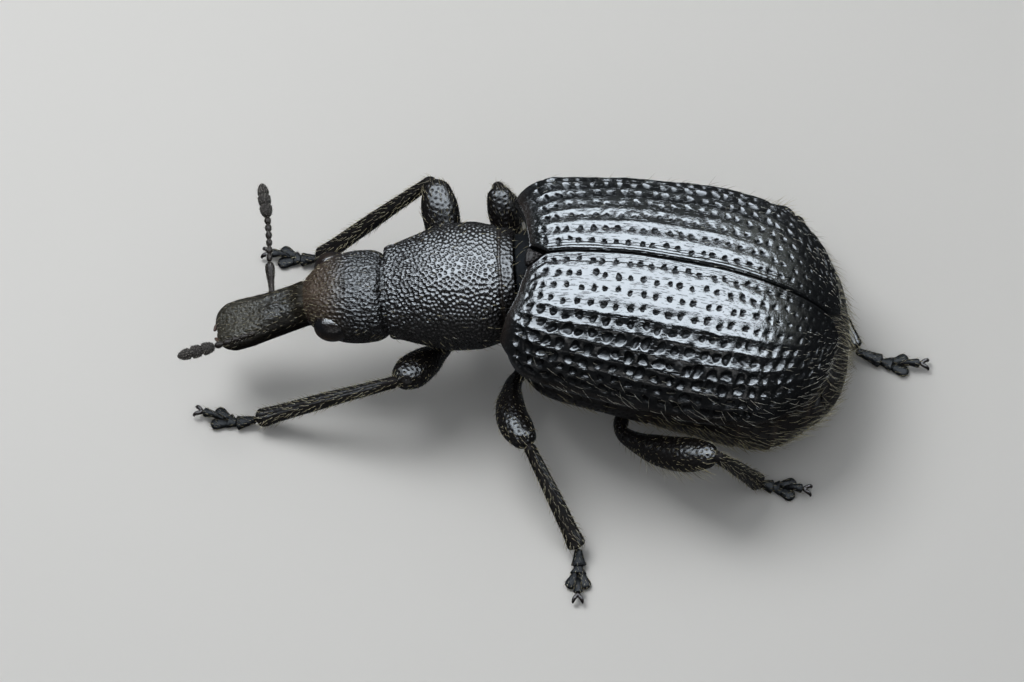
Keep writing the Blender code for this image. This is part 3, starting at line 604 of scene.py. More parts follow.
def place_mm(graph):
    """Object coordinates in millimetres."""
    return graph.vector("SCALE", graph.add("ShaderNodeTexCoord")["Object"], 1 / MM)


def noise(graph, where, scale, detail=2.0, rough=0.5):
    sockets = {"Vector": where, "Scale": scale, "Detail": detail, "Roughness": rough}
    return graph.add("ShaderNodeTexNoise", None, sockets)["Fac"]


def mask(graph, name):
    return graph.add("ShaderNodeAttribute", {"attribute_name": name})["Fac"]


def blend(graph, factor, first, second):
    colours = {"Factor": factor, "A": first, "B": second}
    return graph.add("ShaderNodeMix", {"data_type": "RGBA"}, colours)["Result"]


def stretched(graph, where, slant, scale):
    """Coordinates turned about Z by a slant in degrees and scaled along each axis."""
    turn = (0.0, 0.0, math.radians(slant))
    return graph.add(
        "ShaderNodeMapping", {"vector_type": "POINT"}, {"Vector": where, "Rotation": turn, "Scale": scale}
    )["Vector"]


def bumped(graph, height):
    """Normal bent by a height in millimetres."""
    return graph.add("ShaderNodeBump", None, {"Height": height, "Distance": MM, "Strength": 1.0})["Normal"]


def principled(graph, **sockets):
    named = {key.replace("_", " "): value for key, value in sockets.items()}
    return graph.add("ShaderNodeBsdfPrincipled", None, named)["BSDF"]


def cuticle(base, warm, rough, grain=0.0015, ripple=0.003, wrinkle=0.0, slant=0, shine=0.5, scratches=0):
    """Hard black shell: polished on its ridges, dull in its pits and folds, brown where it is thin."""

    def look(graph):
        where = place_mm(graph)
        cloudy = noise(graph, where, 6.0, 3.0)
        fine = noise(graph, where, 160.0)
        wave = noise(graph, where, 26.0, 3.0)
        brown = mask(graph, "warm")
        hollow = mask(graph, "hollow")
        colour = blend(graph, cloudy.step(0.35, 0.75) * 0.5, base, tuple(c * 1.7 for c in base))
        colour = blend(graph, brown * (0.55 + 0.45 * cloudy), colour, warm)
        roughness = rough + 0.10 * fine + 0.12 * hollow + 0.22 * brown + 0.06 * cloudy
        height = wave * ripple + fine * grain
        if wrinkle:
            folds = noise(graph, stretched(graph, where, slant, (9.0, 46.0, 46.0)), 1.0)
            height = height + folds * mask(graph, "wrinkle") * wrinkle
        if scratches:
            streaks = noise(graph, stretched(graph, where, 4, (13.0, 115.0, 45.0)), 1.0, 1.0)
            height = height - streaks.step(0.59, 0.74) * scratches
        bump = bumped(graph, height)
        polished = principled(graph, Base_Color=colour, Roughness=roughness, Normal=bump, IOR=1.6,
                              Specular_IOR_Level=shine)
        dull = principled(graph, Base_Color=colour, Roughness=0.6, Normal=bump, IOR=1.5,
                          Specular_IOR_Level=0.03)
        share = hollow * 0.8 + mask(graph, "dull")
        return graph.add("ShaderNodeMixShader", None, {"Fac": share, 1: polished, 2: dull})["Shader"]

    return look


def lens(graph):
    """Eye: smooth, nearly black, with very small facets."""
    glow = noise(graph, place_mm(graph), 5.0, 1.0)
    colour = blend(graph, glow.step(0.4, 0.7), (0.006, 0.006, 0.008), (0.026, 0.015, 0.009))
    return principled(graph, Base_Color=colour, Roughness=0.18, IOR=1.5)


def felt(graph):
    """Club of the feeler: black under a close grey down."""
    down = noise(graph, place_mm(graph), 120.0, 3.0, 0.7)
    colour = blend(graph, down.step(0.35, 0.65), (0.010, 0.009, 0.008), (0.085, 0.078, 0.074))
    bump = bumped(graph, down * 0.006)
    return principled(graph, Base_Color=colour, Roughness=0.8, Normal=bump, Specular_IOR_Level=0.05)


def hair_stuff(pale, dark):
    def look(graph):
        tone = noise(graph, place_mm(graph), 9.0)
        return principled(graph, Base_Color=blend(graph, tone.step(0.35, 0.7), dark, pale), Roughness=0.38)

    return look


def floor_stuff(graph):
    tone = noise(graph, place_mm(graph), 0.15)
    colour = blend(graph, tone, (0.70, 0.70, 0.685), (0.74, 0.74, 0.725))
    return principled(graph, Base_Color=colour, Roughness=0.9, Specular_IOR_Level=0.0)


def make_materials():
    black = (0.003, 0.0034, 0.004)
    brown = (0.040, 0.024, 0.014)
    warm_head = (0.046, 0.027, 0.013)
    dark_olive = (0.005, 0.004, 0.003)
    olive = (0.017, 0.0135, 0.006)
    dark_horn = (0.008, 0.004, 0.003)
    horn = (0.04, 0.018, 0.01)
    looks = {
        "wing_case": cuticle(black, brown, 0.10, 0.0006, 0.004, scratches=0.002),
        "body_shell": cuticle(black, brown, 0.28, 0.002, 0.004, shine=0.16),
        "pronotum_shell": cuticle(black, brown, 0.14, 0.001, 0.003, 0.018, slant=62, shine=0.45),
        "head_shell": cuticle(black, warm_head, 0.16, 0.0022, 0.004, 0.020, slant=50, shine=0.32),
        "rostrum_shell": cuticle(dark_olive, olive, 0.18, 0.0015, 0.006, 0.009, slant=12, shine=0.22),
        "shield_shell": cuticle(black, (0.018, 0.011, 0.007), 0.3, 0.003, 0.006, shine=0.14),
        "eye_lens": lens,
        "antenna_shell": cuticle((0.004, 0.0035, 0.0035), brown, 0.28, shine=0.07),
        "club_felt": felt,
        "leg_shell": cuticle(black, brown, 0.12, 0.0015, 0.004, 0.010, shine=0.24),
        "foot_shell": cuticle(black, brown, 0.26, 0.004, 0.012, shine=0.07),
        "claw_horn": cuticle(dark_horn, horn, 0.24, shine=0.2),
        "pale_hair": hair_stuff((0.50, 0.45, 0.28), (0.20, 0.17, 0.10)),
        "grey_hair": hair_stuff((0.42, 0.40, 0.33), (0.16, 0.15, 0.12)),
        "floor": floor_stuff,
    }
    return {name: new_material(name, look) for name, look in looks.items()}


# Wing cases

ELYTRA_LENGTH = 2.27
CASE_WIDTH = curve(
    [0, 0.012, 0.035, 0.08, 0.2, 0.4, 0.6, 0.75, 0.86, 0.93, 0.97, 0.99, 1.0],
    [0.565, 0.64, 0.71, 0.77, 0.81, 0.86, 0.895, 0.865, 0.76, 0.61, 0.44, 0.28, 0.16],
)
CASE_HEIGHT = curve(
    [0, 0.012, 0.05, 0.15, 0.35, 0.55, 0.7, 0.8, 0.88, 0.94, 0.98, 1.0],
    [0.355, 0.40, 0.48, 0.60, 0.69, 0.68, 0.61, 0.51, 0.39, 0.26, 0.14, 0.06],
)
CASE_MARGIN = curve([0, 0.04, 0.2, 0.7, 0.9, 1.0], [0.03, 0.02, 0.0, 0.0, 0.02, 0.05])
BASE_LINE = curve([0, 0.3, 0.6, 0.85, 1.0], [-0.03, -0.06, -0.12, -0.13, -0.07])
CASE_POWER = 2.5
CASE_THICKNESS = 0.05
CASE_ROWS = 420
CASE_COLUMNS = 198
CASE_INNER = 12
SLIT = 0.012

# Rows of pits: how many, their places across as shares of the girth, and the step along a row
ROW_COUNT = 10
FIRST_ROW = 0.062
ROW_STEP = 0.0925
PIT_STEP = 0.098
PIT_WINDOW = 0.10
# What a pit and its furrow measure near the slit, and what they have more on the flank
PIT_LENGTH = (0.020, 0.019)
PIT_WIDTH = (0.020, 0.023)
PIT_DEPTH = (0.017, 0.014)
FURROW_DEPTH = (0.003, 0.005)
SEAM_FURROW = 0.014
SEAM_LINES = (0.036, 0.058, 0.078)
ROW_SEEDS = {"left": 11, "right": 23}
# The rolled edge: shares of its drop, and how far it turns inward
MARGIN_DROP = 0.06
MARGIN_ROLL = ((0.35, 0.002), (0.75, 0.004), (1.0, 0.014), (1.02, 0.034))


def slit_edge(t):
    """Half width of the slit between the wing cases, wider at its two ends."""
    return SLIT / 2 + 0.085 * np.clip(1 - t / 0.05, 0, 1) + 0.07 * np.clip((t - 0.95) / 0.05, 0, 1) ** 2


def case_skin(t, share, inset):
    """Points of a wing case at lengthwise shares t and crosswise shares, and its half girth."""
    angle = np.linspace(0, np.pi / 2, 200)
    rows = []
    girth = []
    for at in t:
        y = (CASE_WIDTH(at) - inset) * np.sin(angle) ** (2 / CASE_POWER)
        z = CASE_MARGIN(at) + (CASE_HEIGHT(at) - inset) * np.cos(angle) ** (2 / CASE_POWER)
        length = np.concatenate([[0], np.cumsum(np.hypot(np.diff(y), np.diff(z)))])
        first = np.interp(slit_edge(at), y, length)
        along = first + (length[-1] - first) * share
        start = BASE_LINE(share)
        x = start + at * (ELYTRA_LENGTH - inset * at - start)
        rows.append(np.stack([x, np.interp(along, length, y), np.interp(along, length, z)], -1))
        girth.append(length[-1] - first)
    return np.array(rows), np.array(girth)


def wander(rng, along, step, size):
    """Smooth random drift along a length."""
    knots = np.arange(along.min(), along.max() + 2 * step, step)
    return np.interp(along, knots, rng.normal(0, size, len(knots)))


def case_relief(distance, share, girth, t, seed):
    """Depth of the puncture rows under the polished surface, and how hollow each place is."""
    rng = np.random.default_rng(seed)
    relief = np.zeros_like(distance)
    hollow = np.zeros_like(distance)
    length = distance[-1, 0]
    middle = distance[:, distance.shape[1] // 2]
    for row in range(ROW_COUNT):
        side = row / (ROW_COUNT - 1)
        deep = smooth_step(0.28, 0.60, side)
        pit_length, pit_width, pit_depth, furrow = [
            near + more * deep for near, more in (PIT_LENGTH, PIT_WIDTH, PIT_DEPTH, FURROW_DEPTH)
        ]
        centre = FIRST_ROW + ROW_STEP * row
        across = (share - centre)[None, :] * girth[:, None] + wander(rng, middle, 0.07, 0.005)[:, None]
        half = 0.5 * ROW_STEP * girth[:, None]
        trough = np.clip(1 - (np.abs(across) / half) ** 2.4, 0, 1)
        uneven = 1 + wander(rng, middle, 0.05, 0.25)[:, None]
        relief += trough * furrow * np.clip(uneven, 0.4, 1.6)
        hollow = np.maximum(hollow, 0.45 * deep * trough ** 2)
        start = 0.05 + 0.05 * rng.random()
        for place in np.arange(start, length - 0.03, PIT_STEP * (0.9 + 0.18 * side)):
            place = place + rng.normal(0, 0.009)
            drift = rng.normal(0, 0.006)
            size = rng.uniform(0.78, 1.18)
            cross_radius = pit_width * size * rng.uniform(0.85, 1.15)
            close = np.abs(distance[:, 0] - place) < PIT_WINDOW
            window = np.ix_(close, np.abs(across[close].mean(0)) < PIT_WINDOW)
            ahead = (distance[window] - place) / (pit_length * size)
            aside = (across[window] - drift) / cross_radius
            angle = np.arctan2(aside, ahead)
            wavy = 1 + 0.12 * np.sin(2 * angle + rng.uniform(0, 6))
            wavy += 0.10 * np.sin(3 * angle + rng.uniform(0, 6))
            reach = np.hypot(ahead, aside) / wavy
            bowl = np.clip(1 - reach ** 2, 0, 1)
            dimple = np.clip(1 - (reach / 2.3) ** 2, 0, 1) ** 2
            relief[window] += bowl * pit_depth * rng.uniform(0.75, 1.15) + dimple * 0.005
            hollow[window] = np.maximum(hollow[window], smooth_step(1.0, 0.55, reach))
    seam = share[None, :] * girth[:, None]
    fade = smooth_step(0.012, 0.045, t)[:, None] * (1 - 0.7 * smooth_step(0.66, 0.88, t))[:, None]
    relief *= fade
    hollow *= fade
    relief += SEAM_FURROW * bump_at(seam, 0.0, 0.009)
    for line in SEAM_LINES:
        waver = wander(rng, middle, 0.09, 0.003)[:, None]
        relief += 0.005 * bump_at(seam + waver, line, 0.006)
    relief -= 0.012 * (bump_at(t, 0.0, 0.010)[:, None] * smooth_step(0.05, 0.2, share)[None, :])
    relief -= 0.020 * bump_at(t, 0.075, 0.035)[:, None] * bump_at(share, 0.60, 0.11)[None, :]
    return relief, hollow


def zip_faces(first, second):
    """Triangles between two rows of points of unlike counts."""
    faces = []
    i = 0
    k = 0
    while i < len(first) - 1 or k < len(second) - 1:
        ahead_first = (i + 1) / (len(first) - 1) if i < len(first) - 1 else 2
        ahead_second = (k + 1) / (len(second) - 1) if k < len(second) - 1 else 2
        if ahead_first <= ahead_second:
            faces.append((first[i], first[i + 1], second[k]))
            i += 1
        else:
            faces.append((first[i], second[k + 1], second[k]))
            k += 1
    return faces


def wing_case(side):
    """One wing case: polished shell with rows of deep pits, a rolled margin and a smooth lining."""
    s = np.linspace(0, 1, CASE_ROWS)
    t = 0.35 * s + 0.65 * 0.5 * (1 - np.cos(np.pi * s))
    share = np.linspace(0, 1, CASE_COLUMNS)
    skin, girth = case_skin(t, share, 0.0)
    lining, _ = case_skin(t, np.linspace(1, 0, CASE_INNER), CASE_THICKNESS)
    steps = np.cumsum(np.linalg.norm(np.diff(skin, axis=0), axis=2), axis=0)
    distance = np.concatenate([np.zeros((1, CASE_COLUMNS)), steps])
    normal = unit(np.cross(np.gradient(skin, axis=0), np.gradient(skin, axis=1)))
    normal *= np.sign(normal[CASE_ROWS // 2, 0, 2])
    relief, hollow = case_relief(distance, share, girth, t, ROW_SEEDS[side])
    outer = skin - normal * relief[..., None]
    outer[..., 1] = np.maximum(outer[..., 1], SLIT / 2)
    folds = []
    for down, inward in MARGIN_ROLL:
        fold = skin[:, -1:].copy()
        fold[..., 2] -= (MARGIN_DROP * (1 - 0.55 * t))[:, None] * down
        fold[..., 1] -= inward
        folds.append(fold)
    rings = np.concatenate([outer] + folds + [lining], axis=1)
    rings[..., 1] *= SIDES[side]
    columns = rings.shape[1]
    faces = grid_faces(CASE_ROWS, columns)
    split = CASE_COLUMNS + len(folds)
    for row in (0, CASE_ROWS - 1):
        ids = (np.arange(columns) + row * columns).tolist()
        strip = zip_faces(ids[:split], ids[split:][::-1])
        faces += strip if row == 0 else [f[::-1] for f in strip]

    def outside(values, rest=0.0):
        """Values of the outer shell, with one value on the margin and the lining."""
        whole = np.full((CASE_ROWS, columns), rest)
        whole[:, :CASE_COLUMNS] = values
        return whole.ravel()

    at = t[:, None]
    fringe = 0.05 + 0.45 * smooth_step(0.55, 1.0, share) * smooth_step(0.04, 0.15, at)
    fringe = fringe + 1.2 * smooth_step(0.80, 0.97, at) * smooth_step(0.05, 0.5, share)
    v, u = np.meshgrid(s, np.arange(columns) / columns, indexing="ij")
    return make_object(f"elytron_{side}", in_body(rings).reshape(-1, 3), faces, {
        "hollow": outside(hollow),
        "warm": outside(0.4 * bump_at(at, 0.0, 0.012) + 0.35 * smooth_step(0.93, 1.0, share)),
        "dull": outside(0.5 * smooth_step(0.76, 0.90, at) + 0.3 * smooth_step(0.85, 0.97, share)),
        "hair": outside(np.clip(fringe, 0, 1) * smooth_step(0.02, 0.06, at)),
        "hair_length": outside(
            0.8 + smooth_step(0.5, 0.85, share) * (1 - 0.4 * smooth_step(0.8, 1.0, at)), 1.0
        ),
        "lie": turn_y(np.gradient(rings, axis=0), BODY_PITCH).reshape(-1, 3),
        "unwrap": np.stack([u, v, 0 * u], -1).reshape(-1, 3),
    })


def scutellum():
    """Small punctured shield between the wing case bases."""
    outline_x = curve([0, 0.25, 0.5, 0.8, 1.0], [-0.052, -0.035, 0.0, 0.045, 0.064])
    outline_y = curve([0, 0.12, 0.3, 0.5, 0.8, 1.0], [0.0, 0.055, 0.064, 0.050, 0.016, 0.0])
    s = np.linspace(0.02, 0.98, 40)
    half = np.stack([outline_x(s), outline_y(s)], -1)
    outline = np.vstack([half, (half * (1, -1))[::-1]])
    base = CASE_HEIGHT(0.0) + CASE_MARGIN(0.0) - 0.010
    crown = [(s, 0.018 * (1 - s ** 6)) for s in np.linspace(0.98, 0.04, 26)]
    rings = []
    for shrink, lift in [(0.9, -0.05), (0.98, -0.03), (1.0, 0.0)] + crown:
        x = outline[:, 0] * shrink + 0.005 * (1 - shrink)
        z = base + lift + 0.9 * np.clip(x, 0, None)
        rings.append(np.stack([x, outline[:, 1] * shrink, z], -1))
    return solid("scutellum", in_body(np.array(rings)), pits=1, warm=0.4, dull=0.3)


# Trunk under the wing cases

WAIST_X = 0.70
TRUNK_GAP = 0.012
TRUNK_DEPTH = curve(
    [-0.1, 0.0, 0.25, 0.7, 1.1, 1.5, 1.85, 2.1, 2.3, 2.42],
    [0.36, 0.40, 0.54, 0.56, 0.62, 0.71, 0.75, 0.69, 0.59, 0.49],
)
TRUNK_SIDE = curve(
    [-0.1, 0.0, 0.12, 0.3, 0.7, 1.3, 1.7, 1.9, 2.1, 2.28, 2.38, 2.42],
    [0.36, 0.46, 0.66, 0.77, 0.82, 0.86, 0.885, 0.86, 0.73, 0.54, 0.34, 0.17],
)
RUMP_TOP = curve(
    [1.6, 1.95, 2.1, 2.2, 2.28, 2.34, 2.39, 2.42],
    [0.60, 0.26, 0.07, -0.04, -0.10, -0.17, -0.26, -0.34],
)
# Rings of the neck end: x, half width, size over the axis, size under it
NECK_RINGS = ((0.052, 0.335, 0.325, 0.34), (0.066, 0.338, 0.328, 0.343), (0.08, 0.34, 0.33, 0.345))
VENTRITE_EDGES = (1.02, 1.36, 1.66, 1.92, 2.14)
VENTRITE_STEP = 0.012
VENTRITE_FADE = 0.10
TRUNK_END = 2.42
# Room between the trunk and the wing cases at the side and above
ROOM_SIDE = 0.05
ROOM_TOP = 0.055
# Powers that square off the rings above and below, and the ledge between the two
TOP_POWER = 0.85
LOW_POWER = 0.72
LEDGE_HEIGHT = -0.085
LEDGE_THICKNESS = 0.025
TOP_COLUMNS = 24
LOW_COLUMNS = 48
RUMP_LINE = (2.13, 0.0, -0.02)
RUMP_TILT = -38.0


def trunk_halves(x):
    """Right half of the trunk's rings at each x, from the top down to the keel."""
    t = np.clip(x / ELYTRA_LENGTH, 0.0, 0.985)
    taper = 0.03 * np.clip(x - 1.6, 0, None)
    inner_w = np.maximum(CASE_WIDTH(t) - CASE_THICKNESS - ROOM_SIDE - taper, 0.10)
    inner_h = np.maximum(CASE_HEIGHT(t) - CASE_THICKNESS - ROOM_TOP, 0.03) + CASE_MARGIN(t)
    inner_h = np.minimum(inner_h, RUMP_TOP(x))
    side = TRUNK_SIDE(x)
    inner_w = np.where(x < 0.12, np.minimum(inner_w, side * 0.9), inner_w)
    inner_w = np.where(x > 2.22, side * (0.55 + 0.35 * (x - 2.22) / 0.2), inner_w)
    step = np.zeros_like(x)
    for edge in VENTRITE_EDGES:
        step = np.where(x > edge, VENTRITE_STEP * np.clip(1 - (x - edge) / VENTRITE_FADE, 0, 1), step)
    shelf = np.minimum(LEDGE_HEIGHT, inner_h - 0.05)
    low = shelf + LEDGE_THICKNESS
    angle = np.pi / 2 * np.arange(TOP_COLUMNS + 1) / TOP_COLUMNS
    y_top = inner_w[:, None] * np.sin(angle) ** TOP_POWER
    z_top = low[:, None] + (inner_h - low)[:, None] * np.cos(angle) ** TOP_POWER
    angle = np.pi / 2 * (np.arange(LOW_COLUMNS) + 1.0) / LOW_COLUMNS
    outer = np.maximum(side, inner_w + 0.01)
    y_low = (outer - step)[:, None] * np.clip(np.cos(angle), 0, 1) ** LOW_POWER
    z_low = shelf[:, None] - (TRUNK_DEPTH(x) + shelf - step)[:, None] * np.sin(angle) ** LOW_POWER
    y = np.concatenate([y_top, y_low], 1)
    z = np.concatenate([z_top, z_low], 1)
    return np.stack([np.broadcast_to(x[:, None], y.shape), y, z], -1)


def mirrored(half):
    other = half[:, 1:-1][:, ::-1] * np.array([1, -1, 1])
    return np.concatenate([half, other], 1)


def thorax_underside():
    angle = np.pi / 2 * np.arange(TOP_COLUMNS + 1) / (TOP_COLUMNS + 0.5)
    low = np.pi / 2 * (np.arange(LOW_COLUMNS) + 1.0) / LOW_COLUMNS
    front = []
    for x, w, up, down in NECK_RINGS:
        y = np.concatenate([w * np.sin(angle), w * np.cos(low)])
        z = -0.03 + np.concatenate([up * np.cos(angle), -down * np.sin(low)])
        front.append(mirrored(np.stack([np.full_like(y, x), y, z], -1)[None]))
    front = in_fore(np.concatenate(front))
    x = np.concatenate([np.linspace(0.10, 0.22, 30), np.linspace(0.23, WAIST_X - TRUNK_GAP / 2, 60)])
    rings = np.concatenate([front, in_body(mirrored(trunk_halves(x)))])
    neck = np.concatenate([np.ones(len(front)), smooth_step(0.24, 0.16, x)])[:, None]
    return solid("thorax", rings, pits=1, warm=0.1 * (1 - neck), hair=0.4, hair_length=1, dull=neck)


def abdomen_parts():
    """Abdomen with its stepped belly plates, parted from the rump plate by a thin slanted cut."""
    edges = np.array(VENTRITE_EDGES)
    even = np.linspace(WAIST_X + TRUNK_GAP / 2, TRUNK_END, 150)
    stations = np.concatenate([even, edges - 0.001, edges + 0.004])
    x = np.unique(np.round(stations, 4))
    rings = in_body(mirrored(trunk_halves(x)))
    x = x[:, None]
    folds = sum(bump_at(x, edge - 0.01, 0.012) for edge in VENTRITE_EDGES)
    along = turn_y(np.array([1.0, 0, 0]), RUMP_TILT)
    made = []
    for name, behind, shift in (("abdomen", False, 0.0), ("pygidium", True, TRUNK_GAP)):
        thing = solid(name, rings, pits=1, warm=0.15 + 0.5 * folds, hair=smooth_step(0.8, 1.1, x),
                      hair_length=0.9 + 0.5 * smooth_step(1.8, 2.4, x))
        work = bmesh.new()
        work.from_mesh(thing.data)
        cut = bmesh.ops.bisect_plane(
            work, geom=work.verts[:] + work.edges[:] + work.faces[:], dist=SMALL,
            plane_co=Vector(in_body(np.array(RUMP_LINE) + along * shift)),
            plane_no=Vector(turn_y(along, BODY_PITCH)),
            clear_outer=not behind, clear_inner=behind,
        )
        rim = [e for e in cut["geom_cut"] if isinstance(e, bmesh.types.BMEdge)]
        bmesh.ops.edgeloop_fill(work, edges=rim)
        bmesh.ops.triangulate(work, faces=[f for f in work.faces if len(f.verts) > 4])
        work.to_mesh(thing.data)
        work.free()
        thing.data.shade_smooth()
        made.append(thing)
    return made


# Prothorax, head and rostrum

# Stations: x, half width, size over the axis, size under it
PRONOTUM_STATIONS = (
    (0.04, 0.372, 0.352, 0.37),
    (0.0, 0.388, 0.372, 0.375),
    (-0.045, 0.396, 0.382, 0.38),
    (-0.06, 0.382, 0.368, 0.37),
    (-0.075, 0.402, 0.388, 0.385),
    (-0.15, 0.432, 0.412, 0.40),
    (-0.27, 0.458, 0.430, 0.41),
    (-0.40, 0.456, 0.432, 0.41),
    (-0.53, 0.434, 0.418, 0.40),
    (-0.65, 0.396, 0.384, 0.375),
    (-0.75, 0.364, 0.350, 0.35),
    (-0.81, 0.344, 0.325, 0.33),
    (-0.87, 0.334, 0.306, 0.317),
    (-0.89, 0.322, 0.294, 0.305),
)
PRONOTUM_HEIGHT = -0.05
HEAD_STATIONS = (
    (-0.902, 0.285, 0.245, 0.25),
    (-0.94, 0.312, 0.280, 0.285),
    (-1.00, 0.330, 0.295, 0.30),
    (-1.10, 0.334, 0.300, 0.305),
    (-1.20, 0.322, 0.292, 0.30),
    (-1.30, 0.290, 0.270, 0.28),
    (-1.38, 0.245, 0.235, 0.245),
    (-1.44, 0.195, 0.190, 0.195),
    (-1.475, 0.160, 0.150, 0.150),
    (-1.49, 0.140, 0.128, 0.130),
    (-1.50, 0.105, 0.095, 0.100),
)
HEAD_HEIGHT = -0.08
BARREL_POWER = 2.1
FRONS_HOLLOW = 0.020
EYE_CENTRE = (-1.285, 0.235, -0.045)
EYE_RADII = (0.135, 0.105, 0.125)
ROSTRUM_STATIONS = (
    (-1.40, 0.120, 0.110, 0.115),
    (-1.44, 0.140, 0.128, 0.132),
    (-1.487, 0.155, 0.140, 0.145),
    (-1.55, 0.152, 0.128, 0.150),
    (-1.65, 0.155, 0.116, 0.158),
    (-1.75, 0.160, 0.108, 0.160),
    (-1.87, 0.170, 0.100, 0.152),
    (-1.98, 0.182, 0.090, 0.135),
    (-2.07, 0.184, 0.076, 0.110),
    (-2.13, 0.165, 0.058, 0.080),
    (-2.17, 0.130, 0.042, 0.055),
    (-2.19, 0.085, 0.028, 0.032),
)
ROSTRUM_HEIGHT = -0.09
ROSTRUM_POWER = 2.5
# Heights of the rostrum's keel and ridges, and depths of its hollow end and its side grooves
KEEL = 0.010
RIDGES = 0.008
SPOON = 0.016
SIDE_GROOVE = 0.020
SIDE_GROOVE_ANGLE = 1.75
MANDIBLE_PATH = ((-2.15, 0.035, -0.115), (-2.195, 0.058, -0.120), (-2.235, 0.028, -0.125))


def prothorax():
    x, angle, rings = barrel("prothorax", PRONOTUM_STATIONS, (0.04, -0.89), BARREL_POWER, PRONOTUM_HEIGHT)
    rings = in_fore(rings)
    x = x[:, None]
    collar = smooth_step(-0.075, -0.055, x)
    low_edge = bump_at(x, -0.09, 0.06) * smooth_step(0.1, -0.3, np.cos(angle))
    return solid(
        "prothorax", rings,
        pits=1 - 0.4 * collar,
        warm=0.12 + 0.25 * bump_at(x, -0.06, 0.01),
        wrinkle=0.1 + 0.9 * smooth_step(-0.48, -0.68, x),
        dull=0.35 * collar,
        hair=0.3 + 0.7 * smooth_step(0.25, -0.35, np.cos(angle)),
        hair_length=1 + 1.6 * low_edge,
        lie=-np.gradient(rings, axis=0),
    )


def head():
    x, angle, rings = barrel("head", HEAD_STATIONS, (-0.86, -1.50), BARREL_POWER, HEAD_HEIGHT)
    x = x[:, None]
    top = np.clip(np.cos(angle), 0, 1)
    rings[..., 2] -= FRONS_HOLLOW * bump_at(rings[..., 1], 0, 0.09) * bump_at(x, -1.37, 0.09) * top
    frons = smooth_step(-1.10, -1.36, x) * top ** 0.5
    return solid(
        "head", in_head(rings),
        pits=1 - 0.5 * frons,
        warm=0.08 + 0.85 * frons,
        wrinkle=1 - 0.3 * frons,
        dull=0.35 * frons,
        hair=np.clip(0.15 + frons, 0, 1),
        hair_length=1,
    )


def eye(side):
    centre = np.array(EYE_CENTRE) * (1, SIDES[side], 1)
    return solid("eye", in_head(egg("eye", centre, EYE_RADII)), pits=1)


def rostrum():
    x, angle, rings = barrel("rostrum", ROSTRUM_STATIONS, (-1.40, -2.19), ROSTRUM_POWER, ROSTRUM_HEIGHT)
    x = x[:, None]
    top = np.clip(np.cos(angle), 0, 1)
    across = rings[..., 1] / np.abs(rings[..., 1]).max(1, keepdims=True)
    blade = smooth_step(-1.70, -1.95, x)
    keel = bump_at(across, 0.0, 0.10) * (1 - blade)
    ridges = bump_at(np.abs(across), 0.55, 0.12) * (1 - 0.5 * blade)
    spoon = bump_at(across, 0, 0.45) * blade
    rings[..., 2] += top * (KEEL * keel + RIDGES * ridges - SPOON * spoon)
    groove = bump_at(angle, SIDE_GROOVE_ANGLE, 0.16) + bump_at(angle, 2 * np.pi - SIDE_GROOVE_ANGLE, 0.16)
    rings[..., 1] -= np.sign(rings[..., 1]) * SIDE_GROOVE * groove * smooth_step(-1.90, -1.78, x)
    root = smooth_step(-1.60, -1.53, x)
    flank = smooth_step(0.40, 0.05, np.cos(angle))
    return solid(
        "rostrum", in_rostrum(rings),
        pits=1,
        warm=top ** 0.6 * (0.4 + 0.6 * blade),
        wrinkle=1,
        dull=0.9 * np.maximum(root, flank),
        hair=0.08 + 0.87 * top ** 0.5,
        hair_length=1,
    )


def mandible(side):
    points = in_rostrum(np.array(MANDIBLE_PATH) * (1, SIDES[side], 1))
    shares = [0, 0.5, 1]
    wide = curve(shares, [0.024, 0.022, 0.008])
    thick = curve(shares, [0.016, 0.012, 0.008])
    return solid("mandible", limb("mandible", points, wide, thick, (0.1, 0.1)), warm=1)


# Feelers

ANTENNAE = {
    "left": {
        "scape": [(-1.73, -0.318, 0.735), (-1.83, -0.365, 0.70)],
        "funicle": [(-1.83, -0.365, 0.70), (-1.97, -0.42, 0.67), (-2.17, -0.50, 0.64)],
        "club": [(-2.17, -0.50, 0.64), (-2.43, -0.59, 0.60)],
    },
    "right": {
        "scape": [(-1.80, -0.105, 0.765), (-1.84, 0.12, 0.83)],
        "funicle": [(-1.84, 0.12, 0.83), (-1.86, 0.28, 0.86), (-1.89, 0.45, 0.88)],
        "club": [(-1.89, 0.45, 0.88), (-1.96, 0.71, 0.90)],
    },
}
BEADS = 6
BEAD_NECK = 0.010
BEAD_SWELLING = 0.011


def bead_row(u):
    """Radius of the funicle, thin between its beads."""
    wave = np.abs(np.sin(np.pi * u * BEADS)) ** 0.6
    return BEAD_NECK + (BEAD_SWELLING + 0.004 * u) * wave


CLUB_SIZE = curve(
    [0, 0.05, 0.14, 0.28, 0.325, 0.345, 0.40, 0.57, 0.615, 0.635, 0.70, 0.84, 0.94, 1.0],
    [0.016, 0.030, 0.041, 0.046, 0.040, 0.030, 0.043, 0.047, 0.041, 0.031, 0.042, 0.036, 0.022, 0.008],
)
SCAPE_SIZE = curve([0, 0.25, 0.8, 1], [0.020, 0.022, 0.034, 0.024])


def antenna(side):
    made = []
    for part, size, caps in (
        ("scape", SCAPE_SIZE, (0.05, 0.12)),
        ("funicle", bead_row, (0.02, 0.02)),
        ("club", CLUB_SIZE, (0.03, 0.03)),
    ):
        rings = limb(part, ANTENNAE[side][part], size, size, caps)
        made.append(solid(part, rings, warm=0.2, hair=1, hair_length=1))
    return made


# Legs

